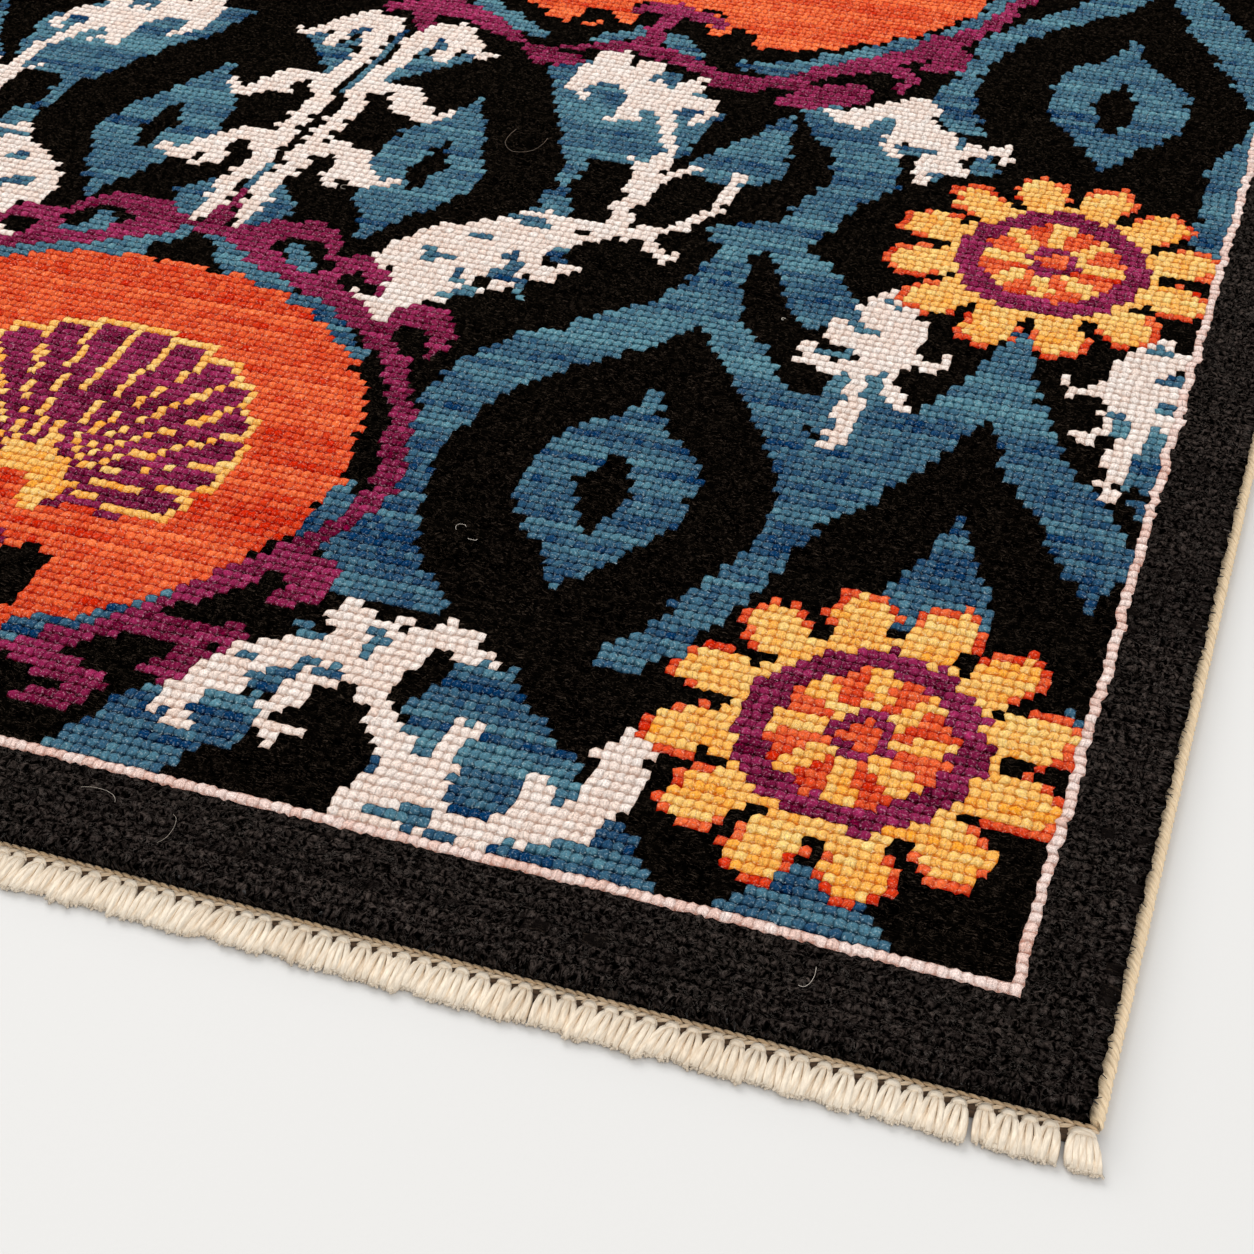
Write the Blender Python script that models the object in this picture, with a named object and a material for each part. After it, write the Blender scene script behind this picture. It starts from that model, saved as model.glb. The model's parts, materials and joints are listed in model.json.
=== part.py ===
# Small hand-knotted wool rug, lying flat: the knotted cloth, an overcast cord along
# each long side, and a braided end strip with its fringe locks at each end.
# Metres. X runs across the rug along the knot rows, Y along its length, Z is up.
# The rug lies on z = 0 and is centred on x = 0 and y = 0.

import math

import bmesh
import bpy

# Knotted cloth
KNOT_PITCH = 0.0024         # width of one knot
ROW_PITCH = 0.00288         # length of one row of knots with its wefts
KNOTS_ACROSS = 251
ROWS_LONG = 284
CLOTH_THICK = 0.0065        # foundation and clipped pile together
RIM_ROUND = 0.0016          # softness of the clipped pile's upper edge
RIM_STEPS = 3

# Distance kept between neighbouring pieces
PART_GAP = 0.0003

# Overcast side cords
CORD_DIA = 0.0034
CORD_SIDES = 16
CORD_END_ROUND = 0.0008

# Braided end strips
STRIP_DEPTH = 0.0030        # how far the braid stands out from the pile
STRIP_HIGH = 0.0024
STRIP_SHOULDER = 0.0017     # height where the rounded upper side starts
STRIP_CREST = 0.0011        # half width of the upper side's flat crest

# Fringe locks, each one a bundle of warp ends
INNER_LOCKS = 140
CORNER_ZONE = 0.0066        # length of strip that carries the larger corner lock
LOCK_OUT = 0.0103           # length of a lock from the strip to its cut end
LOCK_LEAN = 0.0007          # how far the cut ends wander sideways
LOCK_LENGTH_VARY = 0.0006
CORNER_LEAN = 0.0011        # the corner locks splay outward
CORNER_LONGER = 0.0010

# One row per cross-section of a lock:
# share of its length, share of its pitch taken up, height above the floor
LOCK_SECTIONS = (
    (0.14, 0.50, 0.0019),
    (0.42, 0.78, 0.0024),
    (0.80, 0.88, 0.0021),
    (1.00, 0.80, 0.0013),
)
ROOT_SHARE = 0.42           # share of the pitch that the lock's root takes

CLOTH_WIDE = KNOTS_ACROSS * KNOT_PITCH
CLOTH_LONG = ROWS_LONG * ROW_PITCH
CORD_RADIUS = CORD_DIA / 2
CORD_X = CLOTH_WIDE / 2 + PART_GAP + CORD_RADIUS
RUG_HALF_WIDE = CORD_X + CORD_RADIUS
STRIP_BACK_Y = CLOTH_LONG / 2 + PART_GAP
STRIP_FRONT_Y = STRIP_BACK_Y + STRIP_DEPTH


def clear_scene():
    for item in list(bpy.data.objects):
        bpy.data.objects.remove(item, do_unlink=True)


def plain_material(name, colour, roughness):
    material = bpy.data.materials.new(name)
    material.use_nodes = True
    shader = material.node_tree.nodes["Principled BSDF"]
    shader.inputs["Base Color"].default_value = (*colour, 1.0)
    shader.inputs["Roughness"].default_value = roughness
    shader.inputs["Metallic"].default_value = 0.0
    material.diffuse_color = (*colour, 1.0)
    return material


def add_object(name, bm, material, smooth):
    bmesh.ops.recalc_face_normals(bm, faces=bm.faces)
    mesh = bpy.data.meshes.new(name)
    bm.to_mesh(mesh)
    bm.free()
    item = bpy.data.objects.new(name, mesh)
    bpy.context.scene.collection.objects.link(item)
    mesh.materials.append(material)
    for face in mesh.polygons:
        face.use_smooth = smooth
    return item


def knotted_cloth(material):
    # The cloth is one flat slab. Its upper rim is rounded where the pile leans outward.
    bm = bmesh.new()
    rings = [(0.0, 0.0)]
    for step in range(RIM_STEPS + 1):
        turn = math.pi / 2 * step / RIM_STEPS
        inward = RIM_ROUND * (1 - math.cos(turn))
        height = CLOTH_THICK - RIM_ROUND + RIM_ROUND * math.sin(turn)
        rings.append((inward, height))
    loops = []
    for inward, height in rings:
        x = CLOTH_WIDE / 2 - inward
        y = CLOTH_LONG / 2 - inward
        corners = ((-x, -y), (x, -y), (x, y), (-x, y))
        loops.append([bm.verts.new((cx, cy, height)) for cx, cy in corners])
    for lower, upper in zip(loops, loops[1:]):
        for side in range(4):
            after = (side + 1) % 4
            bm.faces.new((lower[side], lower[after], upper[after], upper[side]))
    bm.faces.new(loops[0][::-1])
    bm.faces.new(loops[-1])
    return add_object("knotted_cloth", bm, material, False)


def side_cord(name, side, material):
    # A round cord of overcast yarn that runs the whole length of the knotted cloth.
    bm = bmesh.new()
    half = CLOTH_LONG / 2
    stations = (
        (-half, CORD_RADIUS - CORD_END_ROUND),
        (-half + CORD_END_ROUND, CORD_RADIUS),
        (half - CORD_END_ROUND, CORD_RADIUS),
        (half, CORD_RADIUS - CORD_END_ROUND),
    )
    loops = []
    for y, radius in stations:
        ring = []
        for index in range(CORD_SIDES):
            turn = 2 * math.pi * (index + 0.5) / CORD_SIDES
            reach = radius / math.cos(math.pi / CORD_SIDES)
            x = side * CORD_X + reach * math.cos(turn)
            z = CORD_RADIUS + reach * math.sin(turn)
            ring.append(bm.verts.new((x, y, z)))
        loops.append(ring)
    for near, far in zip(loops, loops[1:]):
        for index in range(CORD_SIDES):
            after = (index + 1) % CORD_SIDES
            bm.faces.new((near[index], near[after], far[after], far[index]))
    bm.faces.new(loops[0])
    bm.faces.new(loops[-1][::-1])
    cord = add_object(name, bm, material, True)
    for face in cord.data.polygons:
        if len(face.vertices) > 4:
            face.use_smooth = False
    return cord


def lock_places():
    # Centre, pitch, lean and length of every lock along one strip, from left to right.
    places = []
    corner_x = RUG_HALF_WIDE - CORNER_ZONE / 2
    places.append((-corner_x, CORNER_ZONE, -CORNER_LEAN, LOCK_OUT + CORNER_LONGER))
    inner_long = 2 * (RUG_HALF_WIDE - CORNER_ZONE)
    pitch = inner_long / INNER_LOCKS
    for index in range(INNER_LOCKS):
        x = -inner_long / 2 + pitch * (index + 0.5)
        sway = math.sin(index * 0.61) * 0.6 + math.sin(index * 0.23 + 1.7) * 0.4
        length = LOCK_OUT + LOCK_LENGTH_VARY * math.sin(index * 2.3) * math.cos(index * 0.37)
        places.append((x, pitch, LOCK_LEAN * sway, length))
    places.append((corner_x, CORNER_ZONE, CORNER_LEAN, LOCK_OUT + CORNER_LONGER))
    return places


def strip_profile(x, end):
    # Cross-section of the braid at x, as (x, y, z) going round from the floor at the front.
    middle = (STRIP_BACK_Y + STRIP_FRONT_Y) / 2
    return (
        (x, end * STRIP_FRONT_Y, 0.0),
        (x, end * STRIP_FRONT_Y, STRIP_SHOULDER),
        (x, end * (middle + STRIP_CREST), STRIP_HIGH),
        (x, end * (middle - STRIP_CREST), STRIP_HIGH),
        (x, end * STRIP_BACK_Y, STRIP_SHOULDER),
        (x, end * STRIP_BACK_Y, 0.0),
    )


def end_fringe(name, end, material):
    # The strip is laid first as a bar with one face for each lock's root.
    # Every lock grows out of its root face in short lengths and lies on the floor.
    bm = bmesh.new()
    places = lock_places()
    edges_x = [-RUG_HALF_WIDE]
    for x, pitch, _lean, _length in places:
        edges_x.append(x - pitch * ROOT_SHARE / 2)
        edges_x.append(x + pitch * ROOT_SHARE / 2)
    edges_x.append(RUG_HALF_WIDE)
    loops = []
    for x in edges_x:
        loops.append([bm.verts.new(point) for point in strip_profile(x, end)])
    around = len(loops[0])
    for column, (left, right) in enumerate(zip(loops, loops[1:])):
        carries_lock = column % 2 == 1
        for index in range(around):
            after = (index + 1) % around
            if index == 0 and carries_lock:
                continue
            bm.faces.new((left[index], right[index], right[after], left[after]))
    bm.faces.new(loops[0])
    bm.faces.new(loops[-1][::-1])
    for number, (x, pitch, lean, length) in enumerate(places):
        left = loops[number * 2 + 1]
        right = loops[number * 2 + 2]
        ring = [left[0], right[0], right[1], left[1]]
        for share, width_share, height in LOCK_SECTIONS:
            half = pitch * width_share / 2
            middle = x + lean * share
            y = end * (STRIP_FRONT_Y + length * share)
            corners = (
                (middle - half, y, 0.0),
                (middle + half, y, 0.0),
                (middle + half * 0.72, y, height),
                (middle - half * 0.72, y, height),
            )
            following = [bm.verts.new(point) for point in corners]
            for side in range(4):
                after = (side + 1) % 4
                bm.faces.new((ring[side], ring[after], following[after], following[side]))
            ring = following
        bm.faces.new(ring)
    return add_object(name, bm, material, False)


clear_scene()
wool = plain_material("knotted wool pile", (0.075, 0.062, 0.062), 0.95)
yarn = plain_material("overcast cord yarn", (0.72, 0.60, 0.42), 0.90)
cotton = plain_material("cotton fringe", (0.80, 0.72, 0.58), 0.90)

knotted_cloth(wool)
side_cord("side_cord_left", -1, yarn)
side_cord("side_cord_right", 1, yarn)
end_fringe("fringe_front", -1, cotton)
end_fringe("fringe_back", 1, cotton)
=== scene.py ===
# A small hand-knotted wool rug, lying flat on a pale floor.
# The woven ground, the knotted pile with its charted pattern, the overcast side cords,
# and the twined ends with their fringe. Metres. X runs along the knot rows, Y along the
# rug's length, Z is up. The camera looks across the right front corner.

import json
import math

import bpy
import numpy as np
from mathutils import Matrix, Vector

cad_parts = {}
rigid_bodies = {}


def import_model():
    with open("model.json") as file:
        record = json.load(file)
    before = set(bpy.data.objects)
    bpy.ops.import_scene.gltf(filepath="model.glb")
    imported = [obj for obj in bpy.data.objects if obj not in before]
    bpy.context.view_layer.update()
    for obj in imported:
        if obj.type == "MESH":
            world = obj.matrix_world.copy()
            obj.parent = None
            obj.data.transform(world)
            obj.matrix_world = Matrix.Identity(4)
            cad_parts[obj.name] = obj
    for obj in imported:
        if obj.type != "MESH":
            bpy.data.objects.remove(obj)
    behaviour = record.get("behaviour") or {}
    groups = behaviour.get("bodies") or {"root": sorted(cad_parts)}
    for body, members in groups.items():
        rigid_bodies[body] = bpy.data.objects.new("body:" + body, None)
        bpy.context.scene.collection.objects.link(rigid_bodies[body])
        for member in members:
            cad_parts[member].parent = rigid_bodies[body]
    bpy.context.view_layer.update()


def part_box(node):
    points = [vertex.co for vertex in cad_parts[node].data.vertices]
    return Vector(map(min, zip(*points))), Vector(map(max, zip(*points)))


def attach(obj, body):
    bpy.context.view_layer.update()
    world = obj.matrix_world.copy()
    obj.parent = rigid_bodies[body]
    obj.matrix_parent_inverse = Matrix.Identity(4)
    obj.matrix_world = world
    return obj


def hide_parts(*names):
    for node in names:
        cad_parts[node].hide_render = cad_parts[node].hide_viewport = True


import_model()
cloth_low, cloth_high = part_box("knotted_cloth")
cord_low, cord_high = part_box("side_cord_right")
strip_low, strip_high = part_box("fringe_front")

# Weave
KNOTS_ACROSS = 251
ROWS_LONG = 284
KNOT = (cloth_high[0] - cloth_low[0]) / KNOTS_ACROSS
ROW = (cloth_high[1] - cloth_low[1]) / ROWS_LONG
ROW_IN_KNOTS = ROW / KNOT
SIDE_X = cloth_high[0]
FRONT_Y = cloth_low[1]
BACK_Y = cloth_high[1]
PILE_TOP = cloth_high[2]
GROUND_TOP = 0.0026         # upper side of the woven ground that the pile stands on
PILE_BANDS = 4              # the pile is made in this many bands of rows
ROWS_A_BAND = ROWS_LONG // PILE_BANDS

# Clipped pile
KNOT_CROWN = PILE_TOP - 0.0002
SIDE_DIP = 0.00037          # how far the pile sinks between two knots of a row
ROW_DIP = 0.00062           # and between two rows
CORNER_DIP = 0.00092
CLIP_UNEVEN = 0.00024
RIM_DIP = 0.0009
RIM_LEAN = 0.00105          # how far the pile leans out over the side cord and the twined end
RIM_FOOT = 0.0018
ROW_SWAY = 0.00062          # sideways shift of whole rows
KNOT_JITTER = 0.00024

# Palette
BLACK, BLUE, IVORY, GOLD, RED, PLUM, PINK, BORDER = range(8)

# Guard line and plain border, counted from the sides and the ends
BORDER_KNOTS = 7
BORDER_ROWS = 8


# Shapes on the chart. x counts knots from the middle of the rug, r counts rows from its front end.
def strand(x, r, points):
    """A tapering band through points of (x, r, half width)."""
    inside = np.zeros(x.shape, bool)
    for (x0, r0, w0), (x1, r1, w1) in zip(points, points[1:]):
        step_x, step_y = x1 - x0, (r1 - r0) * ROW_IN_KNOTS
        from_x, from_y = x - x0, (r - r0) * ROW_IN_KNOTS
        along = (from_x * step_x + from_y * step_y) / max(step_x**2 + step_y**2, 1e-9)
        along = np.clip(along, 0, 1)
        gap = np.hypot(from_x - along * step_x, from_y - along * step_y)
        inside |= gap < w0 + (w1 - w0) * along
    return inside


def spans(x, r, rows):
    """An area from rows of (r, left edge, right edge), straight between them."""
    at = [row[0] for row in rows]
    left = np.interp(r, at, [row[1] for row in rows])
    right = np.interp(r, at, [row[2] for row in rows])
    return (r >= at[0]) & (r <= at[-1]) & (x >= left) & (x <= right)


S, A = strand, spans

# Blue grounds and bands, under everything else
BANDS = (
    (A, BLUE, ((31, 71.5, 76), (35, 74, 80), (40, 77, 82), (45, 79, 85), (50, 81.5, 85.6), (55, 81.5, 88),
               (58, 81, 90), (62, 80, 92.5), (63.4, 79, 93.5), (70, 74, 96.5), (74, 71, 99))),
    (A, BLUE, ((33, 45, 57), (36, 43, 56.5), (38, 41, 54), (42, 41, 51), (50, 42, 47), (60, 40, 46.5),
                (66, 40, 48.5),
               (71, 41.5, 53), (76, 45, 60), (78, 49.5, 64), (80, 50, 66))),
    (A, BLUE, ((69, 60, 79), (71, 60, 78.5), (76, 60, 75), (78, 52, 73.5), (80, 50.5, 72),
                (82, 53, 70), (85, 57, 68),
               (90, 59, 66), (97, 61, 64.8), (99, 58, 70))),
    (S, BLUE, ((59, 100, 1.6), (63, 100.5, 3), (68, 102, 3.4), (70, 109, 3.2), (73, 117, 4),
                (71, 123, 5), (64, 127, 3),
               (60.5, 133, 2))),
    (A, BLUE, ((45, 85, 97), (50, 85, 115), (58, 82, 117.6), (62, 83, 116), (65, 86, 114),
                (70, 89, 109), (75, 91.5, 106),
               (80, 94, 103), (85, 96.4, 101.6), (91, 98, 99.8))),
    (A, BLUE, ((110, 54, 59), (113, 50, 62), (118, 53, 62.3), (123, 56.5, 60.8), (128, 58.7, 59.4))),
    (A, BLUE, ((111, 34, 46), (115, 32, 49), (120, 29.5, 49.5), (125, 26.5, 50.5), (130, 23.6, 46),
                (134, 23, 40))),
    (S, BLUE, ((36.8, 112, 1.6), (36.7, 104, 0.8), (37.5, 101, 1.8), (38.5, 97, 3))),
    (A, BLUE, ((130, 80, 88), (135, 76, 84.6), (140, 75, 82.5), (143, 77, 82), (150, 78, 83.5),
                (153, 77, 86),
               (157, 79.5, 88), (160, 82, 90.3), (165, 86, 94), (170, 90, 97.5), (176, 94, 100),
               (184, 98, 101))),
    (A, BLUE, ((146, 115.5, 118), (150, 114, 118), (155, 111, 118), (160, 108, 117), (165, 105, 113),
                (170, 102.5, 109.5),
               (176, 100, 106), (184, 99, 101))),
    (A, BLUE, ((110, 115, 118), (114, 113.5, 118), (120, 114.3, 118), (127, 113, 118),
                (131, 112, 118), (136, 113, 118),
               (143, 116.5, 118))),
    (A, BLUE, ((8.5, 28, 41), (10, 29.5, 41.5), (12, 31.5, 43), (15, 33, 45.5), (18, 34.5, 46))),
    (A, BLUE, ((8.5, 57, 87.5), (11, 58, 86), (13.6, 59, 84), (17, 59, 78), (20, 59, 76.5),
                (22, 58.5, 73), (25, 60, 69),
               (28.6, 61.5, 66))),
    (A, BLUE, ((8.5, 91.5, 107.5), (11, 93.5, 106), (13, 96, 103), (15, 98.4, 101))),
    (A, BLUE, ((35, 111, 117), (36.6, 112, 118), (37.6, 116, 118))),
    (S, BLUE, ((4, 84, 1.6), (6, 90, 2.2), (4, 94, 0.6))),
    (S, BLUE, ((4, 122, 1.2), (7, 127, 2.4), (11, 130, 1.2))),
    (A, BLUE, ((66, 80, 83), (70, 80, 87), (75, 80, 88), (79, 80.5, 87.5))),
    (A, BLUE, ((64, 116.6, 118), (70, 114.5, 118), (80, 115, 118), (87, 116.4, 118))),
    (A, BLUE, ((85.5, 74, 77), (90, 71, 80), (96, 68, 76), (100, 62, 70))),
    (S, BLUE, ((70, 98, 2), (76, 92, 2.6), (80, 87, 1.6))),
)

# Black almond inside its blue band, the blue leaf inside it and the leaf's eye
ALMOND = (
    (30, 62, 72), (32, 58, 71.5), (35, 56, 74), (40, 50.5, 77), (45, 48.3, 79), (50, 46.2, 81.5),
    (55, 45.2, 81.6), (60, 46, 80),
    (65, 48, 77), (70, 52, 74), (75, 57.5, 70), (79, 62, 66), (81.5, 63.4, 64.6),
)
LEAF = (
    (39.5, 64.6, 65.6), (42, 63.2, 67.6), (45, 60.8, 69.2), (47, 58.6, 71.4), (50, 56, 73),
    (53, 55.4, 73.4), (58, 55.2, 73),
    (60.2, 55.4, 71.6), (62.6, 57.6, 69.4), (64, 60, 67), (66, 61.6, 65.4), (70, 63.2, 64),
)
LEAF_EYE = ((47, 64, 64.8), (50, 62.6, 66.2), (54, 61, 67), (56, 62, 66), (59, 63.4, 64.2))
SMALL_LEAF = (
    (86.5, 18.2, 18.8), (90, 16.8, 20.4), (93, 14.6, 22.6), (97, 12.8, 25), (101, 11.2, 27),
    (105, 11, 26), (110, 12, 23.6),
    (113, 13.6, 22), (117, 16.8, 19.8), (120.5, 17.9, 18.5),
)
SMALL_EYE = ((97.5, 18.6, 19), (100, 17.4, 20.4), (103, 16.8, 21), (106, 17.6, 20.6), (109.5, 18.8, 19.6))

# Coral branches in ivory, with the blue that fills their forks
CORAL_FRONT = (
    (S, IVORY, ((37.6, 16.5, 1.2), (40.5, 20.5, 3), (44, 24, 3), (48, 26.5, 2.8), (53, 25.5, 3.2),
                (55.5, 28.5, 2.4),
                (58.5, 31, 1.7), (60.5, 31, 1))),
    (S, IVORY, ((45.8, 30.6, 0.8), (47.5, 31.4, 1.6), (50, 29, 2.6), (53, 31, 0.9))),
    (S, IVORY, ((58, 30, 1.4), (61.5, 28.8, 0.9), (64, 28.7, 0.5))),
    (S, IVORY, ((49.5, 23.5, 2.2), (47.4, 20, 1.5), (47.6, 17.4, 1.5), (49.4, 15.6, 1.1),
                (51, 16.4, 0.6))),
    (S, IVORY, ((54.5, 24, 2.6), (57, 20, 1.5), (59, 17.6, 1.5), (61, 18.6, 0.8))),
    (S, IVORY, ((59, 17.6, 1.5), (62, 15.6, 1.3), (61, 12, 2.6), (58.4, 9.4, 1.4))),
    (S, IVORY, ((64.6, 21, 1), (64.6, 14, 1.6), (62, 12, 2))),
    (S, IVORY, ((64.6, 14, 1.4), (67.5, 11.4, 1.2), (71, 10, 1.5), (74.6, 12.6, 2.2), (73.6, 17.4, 1))),
    (S, IVORY, ((66, 20.9, 0.5), (67.2, 21.2, 0.4))),
    (S, IVORY, ((74.6, 12.6, 2), (78, 13.6, 2.2), (80.4, 17.5, 2.6), (79.8, 21.5, 2.4),
                (79.6, 24.6, 0.8))),
    (S, IVORY, ((57, 8.6, 0.9), (70, 8.8, 1.0), (81, 8.6, 0.8))),
    (S, IVORY, ((40, 14.8, 1), (41.6, 13.6, 0.4))),
    (S, BLUE, ((44, 21, 1.2), (46.4, 23, 0.9), (45.6, 20.4, 0.5))),
    (S, BLUE, ((42.2, 18, 1.6), (44.6, 17.6, 2), (45, 14.5, 2))),
    (S, BLUE, ((48, 24.2, 0.8), (50.4, 23.6, 0.8))),
    (S, BLUE, ((40.6, 23.6, 0.7), (42, 23.4, 0.6))),
    (S, BLUE, ((51.8, 29.4, 0.7), (52.2, 26.6, 0.6))),
    (S, BLUE, ((44.2, 28.4, 0.8), (46.6, 27.4, 0.9))),
    (S, BLUE, ((61.6, 10.2, 0.8), (64.6, 10.4, 1.1), (68, 9.4, 0.6))),
    (S, BLUE, ((73, 9.8, 0.8), (75, 10, 0.5))),
    (A, BLACK, ((8.6, 42, 57), (11, 45, 56.6), (14, 48.6, 56.4), (16.4, 51, 56.4), (19, 50, 56),
                (20.4, 50.8, 54.6), (22.4, 52.4, 52.9))),
    (S, BLACK, ((48.8, 17.6, 0.9), (51, 19, 1.2))),
    (S, BLACK, ((58, 28.4, 0.6), (58, 24, 1.4), (57.4, 22.4, 0.8))),
)
CORAL_MIDDLE = (
    (S, IVORY, ((83.4, 66.4, 0.9), (84.4, 68, 1), (84.3, 73, 1.3), (83.4, 78, 1.5), (84.6, 82, 2.6),
                (85, 87, 3.2), (84, 91, 2.4), (82.6, 93.6, 1))),
    (S, IVORY, ((84, 80.4, 1.6), (80, 79.4, 1.4), (77, 80.6, 1.3), (76.4, 82.6, 0.8))),
    (S, IVORY, ((84, 84.4, 2.4), (80, 84.6, 1.9), (78.4, 87, 1.1))),
    (S, IVORY, ((84, 88, 2.6), (81.4, 90, 1.4), (80.8, 92, 0.6))),
    (S, IVORY, ((86, 85, 2.4), (89, 82.6, 1), (91.4, 82.2, 0.9), (92.5, 84.4, 0.6))),
    (S, IVORY, ((86.4, 82, 1.8), (87, 77, 1.1), (89, 75, 1), (90, 75, 0.5))),
    (S, IVORY, ((86, 89, 1.8), (88, 87, 0.8))),
    (S, BLUE, ((78, 81.6, 0.7), (80, 81.8, 0.8), (82, 82, 0.5))),
    (S, BLUE, ((80.6, 87.6, 0.7), (82.6, 86.4, 0.5))),
    (S, BLUE, ((83, 92, 0.7), (84, 91.4, 0.8))),
    (S, BLUE, ((85.6, 79, 0.8), (85, 76, 0.9))),
    (S, BLACK, ((88.4, 80.4, 0.9), (88.8, 78, 1.2))),
    (S, BLACK, ((81.2, 68.6, 0.7), (81.6, 67, 0.6))),
)
CORAL_TALL = (
    (S, IVORY, ((28.7, 73.4, 0.6), (28, 76, 1.8), (29.6, 80, 3.4), (30, 85, 5.8), (34, 90, 6.2),
                (39, 93.5, 4), (44, 95, 2), (47, 97, 2))),
    (S, IVORY, ((24.6, 84.6, 2.4), (25.4, 87, 2.4), (28, 91, 2.2), (29.4, 92.6, 1.2))),
    (S, IVORY, ((31, 81, 3), (33, 78.4, 0.8))),
    (S, IVORY, ((22.8, 77, 0.8), (25.4, 76.4, 1), (27, 75, 1.4))),
    (S, IVORY, ((38, 88, 3.4), (39.4, 83.6, 1.5), (37, 81.8, 0.7))),
    (S, IVORY, ((40, 88, 2), (43, 86.4, 1.6), (45.6, 88.6, 0.8))),
    (S, IVORY, ((34, 94, 2.4), (35.4, 97.4, 1.3), (41, 97, 1.2), (44, 97.6, 0.8))),
    (S, IVORY, ((46.5, 97, 1.5), (46.5, 104, 1.5), (46.4, 108, 2), (46.8, 111, 1.4), (46.6, 116, 0.9),
                (45, 120, 1), (43, 124, 1.4), (40.4, 127, 2.6))),
    (S, IVORY, ((43, 112.6, 0.6), (45, 110.4, 0.8), (46.6, 107.4, 1))),
    (S, IVORY, ((51.2, 112.6, 0.7), (49, 109.4, 0.9), (47, 106, 1))),
    (S, IVORY, ((47.4, 96.6, 1.6), (51, 97.4, 1.4), (54, 99.6, 0.9), (56.6, 103.4, 0.8),
                (57.6, 108, 0.8), (57.2, 112.6, 0.9))),
    (S, IVORY, ((51.4, 96.4, 0.9), (54.6, 93, 1), (56.6, 94.8, 0.6))),
    (S, IVORY, ((37, 120.6, 0.8), (38, 123, 1.6), (39.4, 128, 3), (36, 131, 3), (31, 132, 3.4),
                (31, 135.5, 2.6))),
    (S, IVORY, ((36, 131, 2), (36.6, 135, 2))),
    (S, IVORY, ((29.8, 131, 2.4), (28.8, 127, 1.2), (31, 124.8, 0.8))),
    (S, IVORY, ((41, 126, 2.6), (43.4, 131, 1.8), (44, 133, 0.8))),
    (S, IVORY, ((42.6, 126, 1.6), (46.6, 128, 1.4), (48.4, 125.4, 0.9), (47.4, 122.6, 0.8))),
    (S, IVORY, ((39, 122, 0.8), (40.6, 120.8, 0.5))),
    (S, BLUE, ((27.4, 87.4, 0.8), (28.8, 86.2, 1), (30.6, 86.2, 0.6))),
    (S, BLUE, ((33.4, 84.8, 0.5), (33.3, 82.4, 0.8))),
    (S, BLUE, ((38, 88.6, 0.9), (38.4, 84.6, 1.2))),
    (S, BLUE, ((35, 81, 1.3), (33.4, 79.6, 0.6))),
    (S, BLUE, ((31.4, 91.8, 0.9), (33.4, 91.2, 0.6))),
    (S, BLUE, ((33.6, 96.4, 0.5), (37, 96, 1), (39.4, 95.4, 0.5))),
    (S, BLUE, ((42.4, 91.6, 0.8), (43.2, 89.4, 0.6))),
    (S, BLUE, ((40.8, 84.4, 0.8), (41.4, 82, 0.7))),
    (S, BLUE, ((31.6, 127, 1.4), (33.6, 128.4, 1))),
    (S, BLUE, ((38.2, 132.6, 0.8), (38, 130.8, 0.7))),
    (S, BLACK, ((43.4, 96, 0.6), (43.6, 95.6, 0.6))),
)
CORAL_HIGH = (
    (S, IVORY, ((63.6, 130.4, 0.9), (67, 129.6, 2.4), (71, 131.6, 3.8), (74.4, 134.6, 2.8),
                (75, 137, 0.9))),
    (S, IVORY, ((73, 131, 3.4), (78, 127.6, 3.4), (82, 125.4, 2.4), (85, 126.4, 1.3),
                (87.4, 127.4, 1.2), (88.4, 124.8, 0.8))),
    (S, IVORY, ((80, 126, 2.6), (80.4, 122, 3), (79.6, 118, 1.3))),
    (S, IVORY, ((82, 122, 1.8), (84, 120.4, 1.4))),
    (S, IVORY, ((72.8, 128, 1.6), (73.2, 124.6, 1.1), (74.6, 122.6, 0.7))),
    (S, BLUE, ((70.8, 129.6, 1.3), (71, 127.6, 1.1), (70.4, 126, 0.7))),
    (S, BLUE, ((74.8, 124.6, 0.8), (77.4, 124.4, 1.1), (79, 124.8, 0.5))),
    (S, BLUE, ((82, 128.8, 0.8), (82, 126.8, 0.7))),
    (S, BLUE, ((86, 124.6, 0.8), (86.6, 122.2, 1.7))),
    (S, BLUE, ((80.6, 120, 0.7), (80.9, 118.6, 0.5))),
)
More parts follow.
